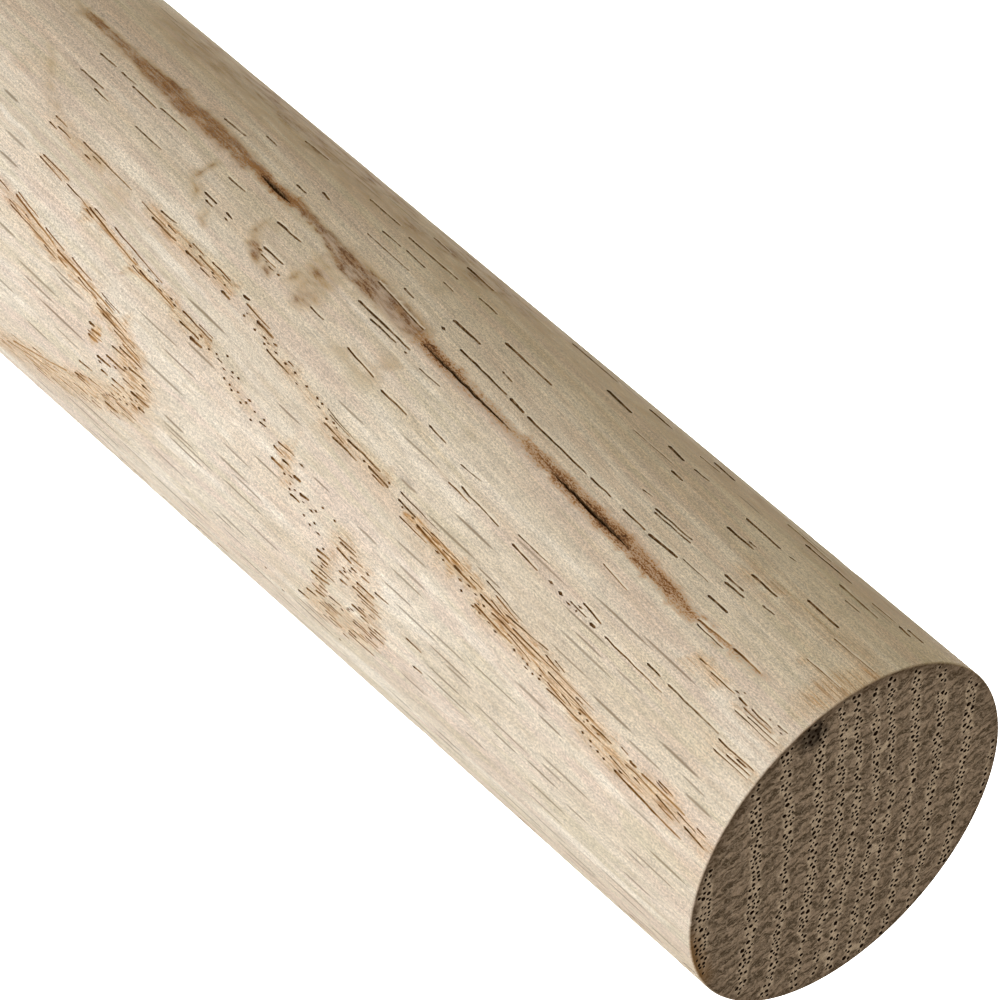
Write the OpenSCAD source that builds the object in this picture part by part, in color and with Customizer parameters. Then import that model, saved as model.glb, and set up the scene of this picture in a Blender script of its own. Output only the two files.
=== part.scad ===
// A round oak dowel rod: one straight piece of solid wood, moulded round and cut square at both ends.
// It stands on one end. The origin is the middle of the lower end, and +Z runs up the rod to the other end.
// Three short drying cracks follow one dark streak of the grain, below the upper end.
// All sizes are in millimetres.

/* [Rod] */
// Diameter of the rod: 1 1/4 in stock
rod_d = 31.75; // [6:0.25:100]
// Length of the rod, end to end: a 12 in piece
rod_l = 304.8; // [60:0.1:1000]

/* [Ends] */
// How far the saw's sharp edge is eased at the upper end
upper_ease = 0.15; // [0.05:0.05:2]
// How far the saw's sharp edge is eased at the lower end
lower_ease = 0.15; // [0.05:0.05:2]

/* [Drying cracks] */
// Depth of each crack below the rod's surface
crack_deep = 0.8; // [0.2:0.1:2.5]
// Lean of the cracks from the rod's axis, in degrees: they turn from +X towards +Y as they rise
crack_lean = 4; // [-8:0.5:8]

/* [Upper crack] */
// Length of the upper crack along the grain
upper_crack_l = 11; // [2:0.5:20]
// Width of the upper crack at its middle: it tapers to nothing at both tips
upper_crack_w = 0.35; // [0.1:0.05:1.5]
// Distance from the rod's upper end down to the middle of the upper crack
upper_crack_drop = 27.5; // [20:0.5:30]
// Place of the upper crack around the rod, in degrees from +X towards +Y
upper_crack_side = -112.3; // [-180:0.1:180]

/* [Middle crack] */
// Length of the middle crack along the grain
middle_crack_l = 12.5; // [2:0.5:20]
// Width of the middle crack at its middle: it tapers to nothing at both tips
middle_crack_w = 0.3; // [0.1:0.05:1.5]
// Distance from the rod's upper end down to the middle of the middle crack
middle_crack_drop = 44; // [42:0.5:55]
// Place of the middle crack around the rod, in degrees from +X towards +Y
middle_crack_side = -116.7; // [-180:0.1:180]

/* [Lower crack] */
// Length of the lower crack along the grain
lower_crack_l = 4.5; // [2:0.5:20]
// Width of the lower crack at its middle: it tapers to nothing at both tips
lower_crack_w = 0.45; // [0.1:0.05:1.5]
// Distance from the rod's upper end down to the middle of the lower crack
lower_crack_drop = 71.5; // [68:0.5:90]
// Place of the lower crack around the rod, in degrees from +X towards +Y
lower_crack_side = -126.3; // [-180:0.1:180]

/* [Hidden] */
// Number of straight steps along each side of a crack's outline
crack_steps = 14;
// How far a cutting shape stands proud of the surface that it cuts
cut_over = 1;
rod_r = rod_d / 2;
$fn = 144;

// Half of the rod's section, turned about the axis: square ends with their edges eased.
module rod_section() {
    polygon([
        [0, 0],
        [rod_r - lower_ease, 0],
        [rod_r, lower_ease],
        [rod_r, rod_l - upper_ease],
        [rod_r - upper_ease, rod_l],
        [0, rod_l]
    ]);
}

// One edge of a crack's plan, as seen on the wood's surface: widest in its middle, with its tips on the middle line.
// hand is -1 for the left edge and 1 for the right.
function crack_edge(l, w, hand) = [
    for (i = [0 : crack_steps])
        let (t = i / crack_steps)
        [hand * w / 2 * sin(180 * t), (t - 0.5) * l]
];

// Plan of a crack: up its left edge and back down its right one, which shares both tips with it.
module crack_plan(l, w) {
    right = crack_edge(l, w, 1);
    polygon(concat(crack_edge(l, w, -1), [for (i = [crack_steps - 1 : -1 : 1]) right[i]]));
}

// A crack's cut: its plan carried in from outside the rod towards the rod's heart.
module crack(l, w, drop, side) {
    translate([0, 0, rod_l - drop])
        rotate([0, 0, side])
            translate([rod_r - crack_deep, 0, 0])
                rotate([90, 0, 90])
                    rotate([0, 0, -crack_lean])
                        linear_extrude(crack_deep + cut_over) crack_plan(l, w);
}

// The rod, one piece of wood with its drying cracks.
module dowel_rod() {
    color([0.80, 0.71, 0.58])
        difference() {
            rotate_extrude() rod_section();
            crack(upper_crack_l, upper_crack_w, upper_crack_drop, upper_crack_side);
            crack(middle_crack_l, middle_crack_w, middle_crack_drop, middle_crack_side);
            crack(lower_crack_l, lower_crack_w, lower_crack_drop, lower_crack_side);
        }
}

dowel_rod();
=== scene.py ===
import math
import random

import bpy
from mathutils import Matrix, Vector, noise
from mathutils.geometry import delaunay_2d_cdt


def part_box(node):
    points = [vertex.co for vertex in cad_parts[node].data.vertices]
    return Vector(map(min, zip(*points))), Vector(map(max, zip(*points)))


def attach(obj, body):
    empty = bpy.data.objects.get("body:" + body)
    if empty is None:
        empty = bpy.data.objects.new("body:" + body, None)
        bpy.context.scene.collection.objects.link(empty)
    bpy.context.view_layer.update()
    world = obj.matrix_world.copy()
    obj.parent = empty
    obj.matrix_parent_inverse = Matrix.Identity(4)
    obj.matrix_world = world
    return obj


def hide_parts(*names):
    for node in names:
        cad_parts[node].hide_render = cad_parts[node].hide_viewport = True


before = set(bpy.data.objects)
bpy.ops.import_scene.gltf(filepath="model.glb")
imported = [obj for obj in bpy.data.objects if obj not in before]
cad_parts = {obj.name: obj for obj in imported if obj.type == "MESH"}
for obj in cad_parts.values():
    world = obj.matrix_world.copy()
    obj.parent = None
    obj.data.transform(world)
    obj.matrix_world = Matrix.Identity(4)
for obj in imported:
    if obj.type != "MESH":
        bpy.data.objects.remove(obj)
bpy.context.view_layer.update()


# ---- The stick of oak -----------------------------------------------------------------------
# The rod is one stick of red oak. The tree's year rings run through it as slightly curved sheets,
# and its grain leans: every fibre drifts away from the bark side as it goes down the rod.
MM = 0.001
rod_low, rod_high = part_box("dowel_rod")
rod_r = (rod_high.x - rod_low.x) / 2 / MM
rod_l = (rod_high.z - rod_low.z) / MM

bark_side = math.radians(-35)    # the side of the rod that faced the bark
bark_x, bark_y = math.cos(bark_side), math.sin(bark_side)
ring_bend = 0.0047               # how strongly a ring curves, per mm
ring_fan = -0.0019               # how much the rings fan out along their length, per mm
skewed_from, skewed_to = 14.5, 17.5
ring_skew = 0.2                  # the rings nearest the bark lie askew by this slope
steepest_at, lean_reach = 48, 50       # the fibres lean most at this depth, and less so over this length
half_drift = 5.75
sways_below, sway_length = 110, 195    # farther down they swing out and back
sway_drift, sway_turns = 1.1, 2.6


def lean(depth):
    """How far the fibres have drifted away from the bark side at a depth below the upper end, in mm."""
    before, after = math.tanh((depth - steepest_at) / lean_reach), math.tanh(steepest_at / lean_reach)
    steady = half_drift * (before + after)
    if depth < sways_below:
        return steady
    return steady + sway_drift * (1 - math.cos((depth - sways_below) / sway_length * sway_turns * math.pi))


def skew_share(level):
    """How far askew the rings lie at a distance towards the bark."""
    t = min(1.0, max(0.0, (level - skewed_from) / (skewed_to - skewed_from)))
    return ring_skew * t * t * (3 - 2 * t)


def wood_at(x, y, depth):
    """Where a point of the rod lies in the tree: mm of growth, mm along the ring, and depth."""
    along = bark_x * y - bark_y * x
    outward = bark_x * x + bark_y * y + lean(depth)
    level = (outward - ring_bend * along * along) / (1 + ring_fan * along)
    return level - skew_share(level) * along, along, depth


def outward_of(growth, along):
    """The distance towards the bark, at the upper end, of the ring at this growth and place along it."""
    level = growth
    for _ in range(6):
        level = growth + skew_share(level) * along
    return level * (1 + ring_fan * along) + ring_bend * along * along


# ---- Its vessels ----------------------------------------------------------------------------
# Each spring the oak laid down a band of wide, open vessels: long tubes, in groups between the rays.
# A tube is kept as its place at the upper end and its bore, and follows the leaning fibres down.
grain = random.Random(31)
spring_bands = [                 # growth of each band's middle, and the band's thickness
    (-15.2, 0.6), (-12.1, 0.85), (-9.05, 0.8), (-6.5, 0.7), (-4.2, 0.6), (-2.65, 0.6), (-0.65, 0.7),
    (1.05, 0.65), (3.25, 0.85), (6.3, 0.9), (9.6, 0.95), (14.5, 1.3), (19.85, 1.25), (22.9, 1.3),
    (25.6, 0.9), (28.6, 0.9),
]
smallest_bore, usual_bore, widest_bore = 0.09, 0.145, 0.25
beside_share = 0.85              # most vessels grew right beside another one
beside_gap, beside_wall = 1.38, 0.02
apart_gap, apart_wall = 1.37, 0.015      # none are closer than this share of their bores and this wall
group_lengths, ray_gaps = (0.5, 1.3), (0.08, 0.42)
group_crowds = (10, 15)          # vessels to a square millimetre
band_spread, band_edge = 0.2, 0.54
tries_each = 9


def spring_vessels(growth, thick):
    """The vessels of one band, as (distance towards the bark, place along the ring, bore radius)."""
    along, reach = -rod_r - 0.6, rod_r + 0.6
    tubes = []
    while along < reach:
        group = grain.uniform(*group_lengths)
        wanted = round(group * thick * grain.uniform(*group_crowds))
        near = []
        for _ in range(wanted * tries_each):
            if len(near) >= wanted:
                break
            bore = grain.triangular(smallest_bore, widest_bore, usual_bore)
            g = growth + grain.gauss(0, band_spread) * thick
            a = along + grain.uniform(0, group)
            if near and grain.random() < beside_share:
                g2, a2, b2 = grain.choice(near)
                turn, away = grain.uniform(0, 2 * math.pi), (bore + b2) * beside_gap + beside_wall
                g, a = g2 + away * math.cos(turn), a2 + away * math.sin(turn)
            apart = all(
                math.hypot(g - g2, a - a2) > (bore + b2) * apart_gap + apart_wall
                for g2, a2, b2 in near + tubes[-8:])
            if apart and abs(g - growth) < band_edge * thick and along < a < along + group:
                near.append((g, a, bore))
        tubes += near
        along += group + grain.uniform(*ray_gaps)
    return [(outward_of(g, a), a, bore) for g, a, bore in tubes]


vessels = [tube for growth, thick in spring_bands for tube in spring_vessels(growth, thick)]


shared_sway, own_sway, ring_slip = 0.42, 0.03, 0.5   # mm that a vessel wanders out, alone and sideways


def tube_at(tube, depth):
    """Where a vessel's middle is in the rod's section at a depth."""
    outward, along, bore = tube
    sway = noise.noise(Vector((outward * 0.16, along * 0.16, depth * 0.055))) * shared_sway
    sway += noise.noise(Vector((outward * 3.1, along * 3.1, depth * 0.11))) * own_sway
    slip = noise.noise(Vector((along * 0.2 + 40, outward * 0.2, depth * 0.05))) * ring_slip
    o = outward - lean(depth) + sway
    a = along + slip
    return o * bark_x - a * bark_y, o * bark_y + a * bark_x


# ---- Its drying cracks and stains -----------------------------------------------------------
# A dark streak follows the grain from a pin knot at the upper end's edge, with three short drying
# cracks in it. Brown smudges and a rust-coloured tide mark were left by handling and by damp. Two
# broad brown strokes along the rod's shaded edge are painted shade.
def along_table(rows, at):
    """Straight-line reading of a short table of (depth, value, ...) rows."""
    if at <= rows[0][0]:
        return rows[0][1:]
    for before, after in zip(rows, rows[1:]):
        if at <= after[0]:
            t = (at - before[0]) / (after[0] - before[0])
            return tuple(p + (q - p) * t for p, q in zip(before[1:], after[1:]))
    return rows[-1][1:]


def soft(distance, half_width):
    """1 in the middle of a brush stroke and 0 past its edge, with a soft edge between."""
    t = min(1.0, max(0.0, 1.5 - distance / half_width))
    return t * t * (3 - 2 * t)


# The streak: depth, degrees around the rod, half width, and how red-brown and how plain brown it is.
streak_path = [
    (5.4, -107.7, 0.2, 0.0, 0.0), (6.4, -107.8, 0.24, 0.34, 0.1), (12.8, -108.3, 0.28, 0.46, 0.1),
    (14.2, -108.4, 0.42, 0.58, 0.1), (15.6, -108.6, 0.58, 0.66, 0.2),
    (17.5, -109.6, 0.6, 0.74, 0.2), (20.5, -110.6, 0.6, 0.74, 0.2), (22.1, -111.4, 0.64, 0.76, 0.2),
    (22.6, -111.8, 0.64, 1.0, 0.3), (26.0, -112.2, 0.6, 0.96, 0.3), (28.0, -112.9, 0.58, 0.88, 0.3),
    (31.0, -113.8, 0.6, 0.9, 0.3), (33.5, -114.5, 0.56, 0.74, 0.25), (35.6, -115.0, 0.5, 0.55, 0.2),
    (38.0, -115.6, 0.48, 0.5, 0.2), (41.0, -116.3, 0.5, 0.5, 0.2), (44.0, -117.2, 0.5, 0.6, 0.2),
    (46.0, -117.9, 0.46, 0.84, 0.3), (48.4, -118.7, 0.46, 0.92, 0.4), (49.6, -119.0, 0.42, 1.0, 0.5),
    (50.1, -119.3, 0.4, 0.7, 0.5),
    (50.8, -119.8, 0.8, 0.1, 0.74), (54.0, -120.9, 1.0, 0.0, 0.8), (57.0, -121.8, 1.0, 0.0, 0.82),
    (61.5, -123.0, 0.95, 0.0, 0.84), (63.6, -124.6, 0.66, 0.0, 0.74), (65.4, -125.6, 0.55, 0.0, 0.8),
    (67.5, -126.2, 0.62, 0.05, 0.85), (69.3, -126.3, 0.55, 0.5, 0.9), (70.3, -126.4, 0.5, 1.0, 0.9),
    (73.2, -126.9, 0.5, 1.0, 0.9), (74.8, -127.4, 0.6, 0.3, 0.9), (79.0, -128.3, 0.8, 0.2, 0.9),
    (83.0, -128.9, 0.85, 0.3, 1.0), (88.0, -129.6, 0.8, 0.22, 1.0), (91.5, -130.6, 0.6, 0.15, 0.8),
    (95.5, -131.2, 0.5, 0.25, 0.85), (98.0, -131.5, 0.45, 0.12, 0.7), (101.0, -132.0, 0.4, 0.0, 0.3),
    (108.0, -133.2, 0.3, 0.0, 0.0),
]
crack_slope = math.tan(math.radians(4))
cracks = [                       # depth of the middle, degrees around the rod, length, width
    (27.5, -112.3, 11.0, 0.35), (44.0, -116.7, 12.5, 0.3), (71.5, -126.3, 4.5, 0.45),
]
crack_deep = 0.8
smudges_and_edge_shade = [                      # each a run of (degrees, depth) with its half width and strength
    ([(-119.5, 61.0), (-112.0, 61.2), (-106.5, 60.6)], 1.4, 0.56),
    ([(-120.5, 62.9), (-113.0, 63.1), (-107.0, 62.8)], 0.34, 0.5),
    ([(-116.5, 67.6), (-115.5, 68.9), (-112.5, 69.0)], 0.32, 0.58),
    ([(-112.5, 69.0), (-108.5, 68.6), (-105.5, 66.8), (-104.0, 64.6)], 0.4, 0.66),
    ([(-119.0, 77.1), (-116.5, 77.3), (-112.0, 77.4)], 0.3, 0.62),
    ([(-112.0, 77.4), (-109.3, 76.6), (-106.5, 74.6), (-102.5, 72.8)], 0.34, 0.58),
    ([(-94.0, 80.0), (-96.0, 86.5), (-98.5, 91.5),
      (-103.5, 94.0), (-110.0, 95.8), (-113.5, 97.6)], 0.4, 0.3),
    ([(-105.0, 38.4), (-104.7, 40.9)], 0.4, 0.36),
    ([(-126.0, 36.0), (-125.0, 37.2)], 0.7, 0.16),
    ([(-108.5, 47.6), (-107.5, 49.6)], 0.5, 0.34),
    ([(-101.2, 50.5), (-101.8, 53.6)], 0.5, 0.28),
    ([(-142.0, 54.0), (-144.0, 58.0), (-143.0, 61.0)], 0.7, 0.2),
    # Painted shade: these last two broad strokes darken the rod's shaded edge.
    ([(-168.0, 8.0), (-166.0, 30.0), (-164.0, 46.0)], 3.4, 0.38),
    ([(-163.0, 52.0), (-161.0, 80.0), (-161.0, 94.0)], 4.0, 0.52),
]
tide_marks = [
    ([(-128.0, 0.6), (-121.0, 1.2), (-114.0, 1.4)], 1.5, 0.4),
    ([(-131.0, 2.5), (-133.0, 7.0), (-132.5, 9.5)], 1.3, 0.18),
    ([(-119.6, 0.0), (-119.8, 5.5)], 0.25, 0.4),
    ([(-99.4, 8.0), (-99.7, 12.2)], 0.3, 0.55),
    ([(-130.8, 11.5), (-130.4, 14.5)], 0.3, 0.4),
    ([(-110.0, 95.0), (-104.0, 98.0)], 0.8, 0.12),
]

# Bundles of opened vessels: (degrees, depth) down the side, half width, how golden, and slant.
golden_runs = [
    ([(-62.0, 0.5), (-62.6, 4.0)], 0.5, 0.35, -0.4),
    ([(-62.9, 5.0), (-63.2, 11.0), (-65.2, 15.0)], 0.9, 0.5, -0.4),
    ([(-65.2, 15.0), (-69.6, 20.0), (-71.6, 25.0), (-72.4, 29.0)], 0.9, 0.55, -0.5),
    ([(-74.5, 30.0), (-76.2, 36.0), (-77.0, 39.5)], 0.42, 0.75, -0.3),
    ([(-80.2, 43.0), (-81.5, 46.5), (-81.8, 49.8)], 0.5, 0.35, -0.3),
    ([(-82.6, 50.0), (-87.0, 58.0)], 0.4, 0.3, -0.3),
    ([(-87.8, 59.0), (-91.0, 63.0)], 0.4, 0.35, -0.3),
    ([(-92.5, 66.0), (-93.6, 71.0), (-95.5, 77.5)], 0.5, 0.5, -0.3),
    ([(-95.8, 0.5), (-96.4, 6.0)], 0.5, 0.25, -0.2),
    ([(-84.8, 0.5), (-85.0, 4.5)], 0.5, 0.25, 0.0),
    ([(-56.5, 43.6), (-51.0, 40.0), (-40.0, 38.2), (-34.5, 40.0), (-30.5, 45.5)], 1.4, 0.3, 0.0),
    ([(-50.0, 44.6), (-42.0, 45.0), (-36.0, 45.0)], 0.8, 0.3, 0.0),
    ([(-61.8, 51.4), (-67.4, 52.6)], 0.8, 0.4, 0.0),
    ([(-70.0, 57.5), (-72.2, 61.0)], 0.4, 0.2, 0.0),
    ([(-76.8, 64.5), (-77.2, 68.5)], 0.5, 0.4, -0.2),
    ([(-77.8, 69.5), (-79.4, 74.0), (-82.2, 79.0), (-84.0, 83.0)], 0.3, 0.6, -0.5),
    ([(-58.4, 70.5), (-63.5, 75.5), (-66.5, 82.0), (-70.5, 89.0), (-73.0, 94.0)], 0.6, 0.6, -0.5),
    ([(-55.8, 71.5), (-49.5, 69.0), (-44.0, 69.5), (-38.5, 72.5), (-34.5, 76.0)], 1.35, 0.5, 0.0),
    ([(-56.0, 75.6), (-53.6, 75.8)], 0.5, 0.8, 0.0),
    ([(-34.5, 76.0), (-29.5, 79.5), (-27.0, 84.0), (-21.0, 88.0), (-17.0, 93.0)], 1.2, 0.5, 0.2),
    ([(-86.2, 86.0), (-85.6, 90.0)], 0.35, 0.45, -0.2),
    ([(-95.6, 84.0), (-96.6, 91.0)], 0.5, 0.35, -0.2),
]


def off_line(around, depth, run):
    """Distance in mm from a place on the side to a run of (degrees, depth) points."""
    nearest = 1e9
    px, py = math.radians(around) * rod_r, depth
    for (d0, z0), (d1, z1) in zip(run, run[1:]):
        ax, bx = math.radians(d0) * rod_r, math.radians(d1) * rod_r
        run_x, run_y = bx - ax, z1 - z0
        t = ((px - ax) * run_x + (py - z0) * run_y) / (run_x * run_x + run_y * run_y)
        t = min(1.0, max(0.0, t))
        nearest = min(nearest, math.hypot(px - ax - t * run_x, py - z0 - t * run_y))
    return nearest


gold_ends, gold_fades = 94.5, 9.0      # the golden wash dies out over this last length
stained_from, stained_to, stained_deep = -182, -10, 118    # no stain lies outside this part of the side
streak_side = -90                # and only gold lies on the bright side of this
gold_wobble, streak_wobble, stroke_wobble, brown_patchy = 0.3, 0.4, 0.35, 0.6
brown_spread = 1.15              # the brown reaches a little past the red


def side_stains_and_shade(around, depth):
    """(dark streak, brown smudge and painted edge shade, rusty or golden tint) at a place on the side, each
    from 0 to 1.
    """
    if not (stained_from < around < stained_to and depth < stained_deep):
        return 0.0, 0.0, 0.0
    shift = gold_wobble * noise.noise(Vector((around * 0.3, depth * 0.25, 8.0)))
    gilt = max(g * soft(off_line(around, depth, run) + shift, w) for run, w, g, _ in golden_runs)
    gilt *= min(1.0, max(0.0, (gold_ends - depth) / gold_fades))
    if around > streak_side:
        return 0.0, 0.0, gilt
    middle, half_width, red, brown = along_table(streak_path, depth)
    off = abs(math.radians(around - middle)) * rod_r
    off += streak_wobble * noise.noise(Vector((around * 0.6, depth * 0.6, 5.0)))
    streak = red * soft(off, half_width)
    wobble = stroke_wobble * noise.noise(Vector((around * 0.3, depth * 0.9, 2.0)))
    smudge_and_shade = max(s * soft(off_line(around, depth, run) + wobble, w) for run, w, s in smudges_and_edge_shade)
    smudge_and_shade *= 1 + brown_patchy * noise.noise(Vector((around * 0.4, depth * 0.5, 21.0)))
    smudge_and_shade = max(smudge_and_shade, brown * soft(off, half_width * brown_spread))
    tide = max(s * soft(off_line(around, depth, run) + wobble, w) for run, w, s in tide_marks)
    return streak, smudge_and_shade, max(tide, gilt)


knot_x, knot_y = -3.9, -13.9     # the pin knot, seen in the upper end
knot_r, knot_flat = 1.25, 0.9
knot_ragged, knot_dark = 0.9, 0.9
stained_edge = 1.5               # mm in from the rim that the end is stained
brown_side, brown_reach = -100, 60       # degrees around the rod
rust_side, rust_reach = -18, 12


def end_stains(x, y):
    """(dark knot, brown edge, rusty tint) at a place in the upper end."""
    away = math.hypot(x - knot_x, (y - knot_y) * knot_flat)
    away += knot_ragged * noise.noise(Vector((x * 1.9, y * 1.9, 9.0)))
    knot = knot_dark * soft(away, knot_r)
    around = math.degrees(math.atan2(y, x))
    edge = max(0.0, 1 - (rod_r - math.hypot(x, y)) / stained_edge)
    brown = edge * (0.3 + 0.35 * soft(abs(around - brown_side), brown_reach))
    rust = edge * 0.9 * soft(abs(around - rust_side), rust_reach)
    return knot, brown, rust


# ---- Its round side -------------------------------------------------------------------------
# The moulding plane cut the stick round. Where it cut along a vessel the tube lies open as a groove,
# shallow where the tube leaves the wood and deep where it dives in. The side is laid out flat here,
# as millimetres around the rod and up it, with its join on the hidden back.
join_at = math.radians(-270)
girth = 2 * math.pi * rod_r
edge_ease = 0.15
opened_share = 0.85              # a vessel is open where the side cuts it within this share of its bore
points, point_wood, point_stain_and_shade, point_end, point_lip = [], [], [], [], []
tris, tri_lining, tri_normal, tri_map = [], [], [], []


def add_point(x, y, depth, stain_and_shade, on_end, lip=0.0):
    """A point of the mesh and all that the wood's colour needs to know there."""
    points.append((x * MM, y * MM, (rod_l - depth) * MM))
    point_wood.append(wood_at(x, y, depth))
    point_stain_and_shade.append(stain_and_shade)
    point_end.append(on_end)
    point_lip.append(lip)
    return len(points) - 1


def side_point(u, depth, sunk=0.0, lip=0.0):
    """A point of the round side, at a distance around it and a depth, sunk by some mm."""
    angle = join_at + u / rod_r
    x, y = (rod_r - sunk) * math.cos(angle), (rod_r - sunk) * math.sin(angle)
    return add_point(x, y, depth, side_stains_and_shade(math.degrees(angle), depth), 0.0, lip)


def side_normal(u):
    angle = join_at + u / rod_r
    return math.cos(angle), math.sin(angle), 0.0


def side_u(degrees):
    return (math.radians(degrees) - join_at) * rod_r


map_margin, map_filled = 0.015, 0.47


def side_map(u, depth, third):
    """The side's place in the piece's map: it is cut into three lengths, each in its own quarter."""
    scale = map_filled / (rod_l / 3)
    across = map_margin + (third % 2) * 0.5 + u * scale
    down = map_margin + (third // 2) * 0.5 + (depth - third * rod_l / 3) * scale
    return across, down


near_side, longest_step = 0.6, 3.0
shortest_run, run_lead = 0.3, 0.35


def opened_runs(tube):
    """The stretches of depth over which the rod's surface cuts a vessel open."""
    bore = tube[2] * opened_share
    runs, start = [], None
    depth, step = 0.5, 0.9
    if abs(tube[1]) > rod_r + near_side:
        return runs
    while depth < rod_l - 0.5:
        x, y = tube_at(tube, depth)
        away = abs(math.hypot(x, y) - rod_r)
        if away < bore:
            if start is None:
                start = depth
        elif start is not None:
            runs.append((start, depth - step * 0.5))
            start = None
        depth += step if away < near_side else min(longest_step, step + away)
    if start is not None:
        runs.append((start, rod_l - 0.6))
    return [(a - run_lead, b) for a, b in runs if b - a > shortest_run]


cut_shallow, cut_deeper = 0.03, 0.1      # mm that an opened vessel is cut, and more where it dives in


def groove_of(tube, start, stop):
    """One opened vessel as stations down it: (u, depth, half width, how deep it is cut, darkness)."""
    bore = tube[2] * opened_share
    length = stop - start
    shares = [i / 3 for i in range(4)] if length < 1.2 else [i / 6 for i in range(7)]
    if length > 4:
        shares = [i / 10 for i in range(11)]
    places = []
    for share in shares:
        depth = start + length * share
        x, y = tube_at(tube, depth)
        out = math.hypot(x, y) - rod_r
        u = (math.atan2(y, x) - join_at) % (2 * math.pi) * rod_r
        places.append((u, depth, (bore - out) / (2 * bore)))
    dives = max(0, len(places) - 2) if places[-1][2] > places[0][2] else 1
    stations = []
    for i, (u, depth, sunk) in enumerate(places):
        sunk = min(1.0, max(0.05, sunk))
        mouth = i == dives and sunk > 0.55
        half = bore * (0.85 if mouth else 0.45 + 0.25 * sunk)
        # Painted shade: the lining is darker the deeper the groove is cut, and darkest at the mouth where
        # the tube dives in.
        dark = 0.95 if mouth else 0.3 + 0.5 * sunk * sunk
        stations.append((u, depth, half, cut_shallow + cut_deeper * sunk, dark))
    return stations


crack_step, crack_jag, crack_thin = 0.55, 0.14, 0.03


def crack_groove(middle, degrees, length, width):
    """A drying crack: a jagged split, widest at its middle, along the streak."""
    steps = round(length / crack_step)
    stations = []
    for i in range(steps + 1):
        t = i / steps
        depth = middle + (t - 0.5) * length
        jag = noise.noise(Vector((depth * 1.9, degrees, 3.0))) * crack_jag * math.sin(math.pi * t)
        u = side_u(degrees) - (t - 0.5) * length * crack_slope + jag
        ragged = 0.75 + 0.5 * abs(noise.noise(Vector((depth * 2.3, 0.5, 7.0))))
        half = width / 2 * math.sin(math.pi * t) * ragged
        sunk = crack_deep * math.sqrt(max(0.02, math.sin(math.pi * t)))
        # The crack is painted fully dark all along, as its shade.
        stations.append((u, depth, max(half, crack_thin), sunk, 1.0))
    return stations


slit_sway, slit_shake = 0.07, 0.04       # mm that a slit wanders, slowly and quickly
mouth_wide, head_wide, foot_wider, ragged_wide = 2.1, 1.45, 0.4, 0.6
gold_slims = 0.42                # slits in golden wood are this much slimmer
mouth_dark, head_dark, foot_darker, ragged_dark = 1.2, 0.85, 0.2, 0.5
palest_slit = 0.12


def slit(degrees, top, bottom, drift, half, dark, gold=0.0):
    """A listed vessel: a fine slit that drifts by some degrees and ends in a dark mouth."""
    length = bottom - top
    shares = [0.0, 0.5, 1.0]
    if length > 0.8:
        pieces = max(1, min(9, round(length / 0.9)))
        shares = [0.0, 0.15 / length]
        shares += [(1 - 0.42 / length) * i / pieces for i in range(1, pieces + 1)]
        shares += [1 - 0.2 / length, 1.0]
    stations = []
    for share in shares:
        depth = top + length * share
        sway = slit_sway * noise.noise(Vector((degrees, depth * 0.7, 13.0)))
        sway += slit_shake * noise.noise(Vector((degrees, depth * 2.3, 19.0)))
        ragged = noise.noise(Vector((degrees * 3, depth * 1.4, 29.0)))
        wide = half * (head_wide + foot_wider * share + ragged_wide * ragged)
        # Painted shade: the slit darkens towards its foot, where it is cut deeper, and most at its mouth.
        paler = gold * (0.65 - 0.4 * share)
        shade = dark * (head_dark + foot_darker * share - paler + ragged_dark * ragged)
        if share == shares[-2]:
            wide, shade = half * mouth_wide, dark * (mouth_dark - 0.4 * gold)
        wide *= 1 - gold_slims * gold
        shade = max(palest_slit, min(1.0, shade))
        u = side_u(degrees + drift * share) + sway
        stations.append((u, depth, wide, cut_shallow + cut_deeper * share, shade))
    return stations


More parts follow.
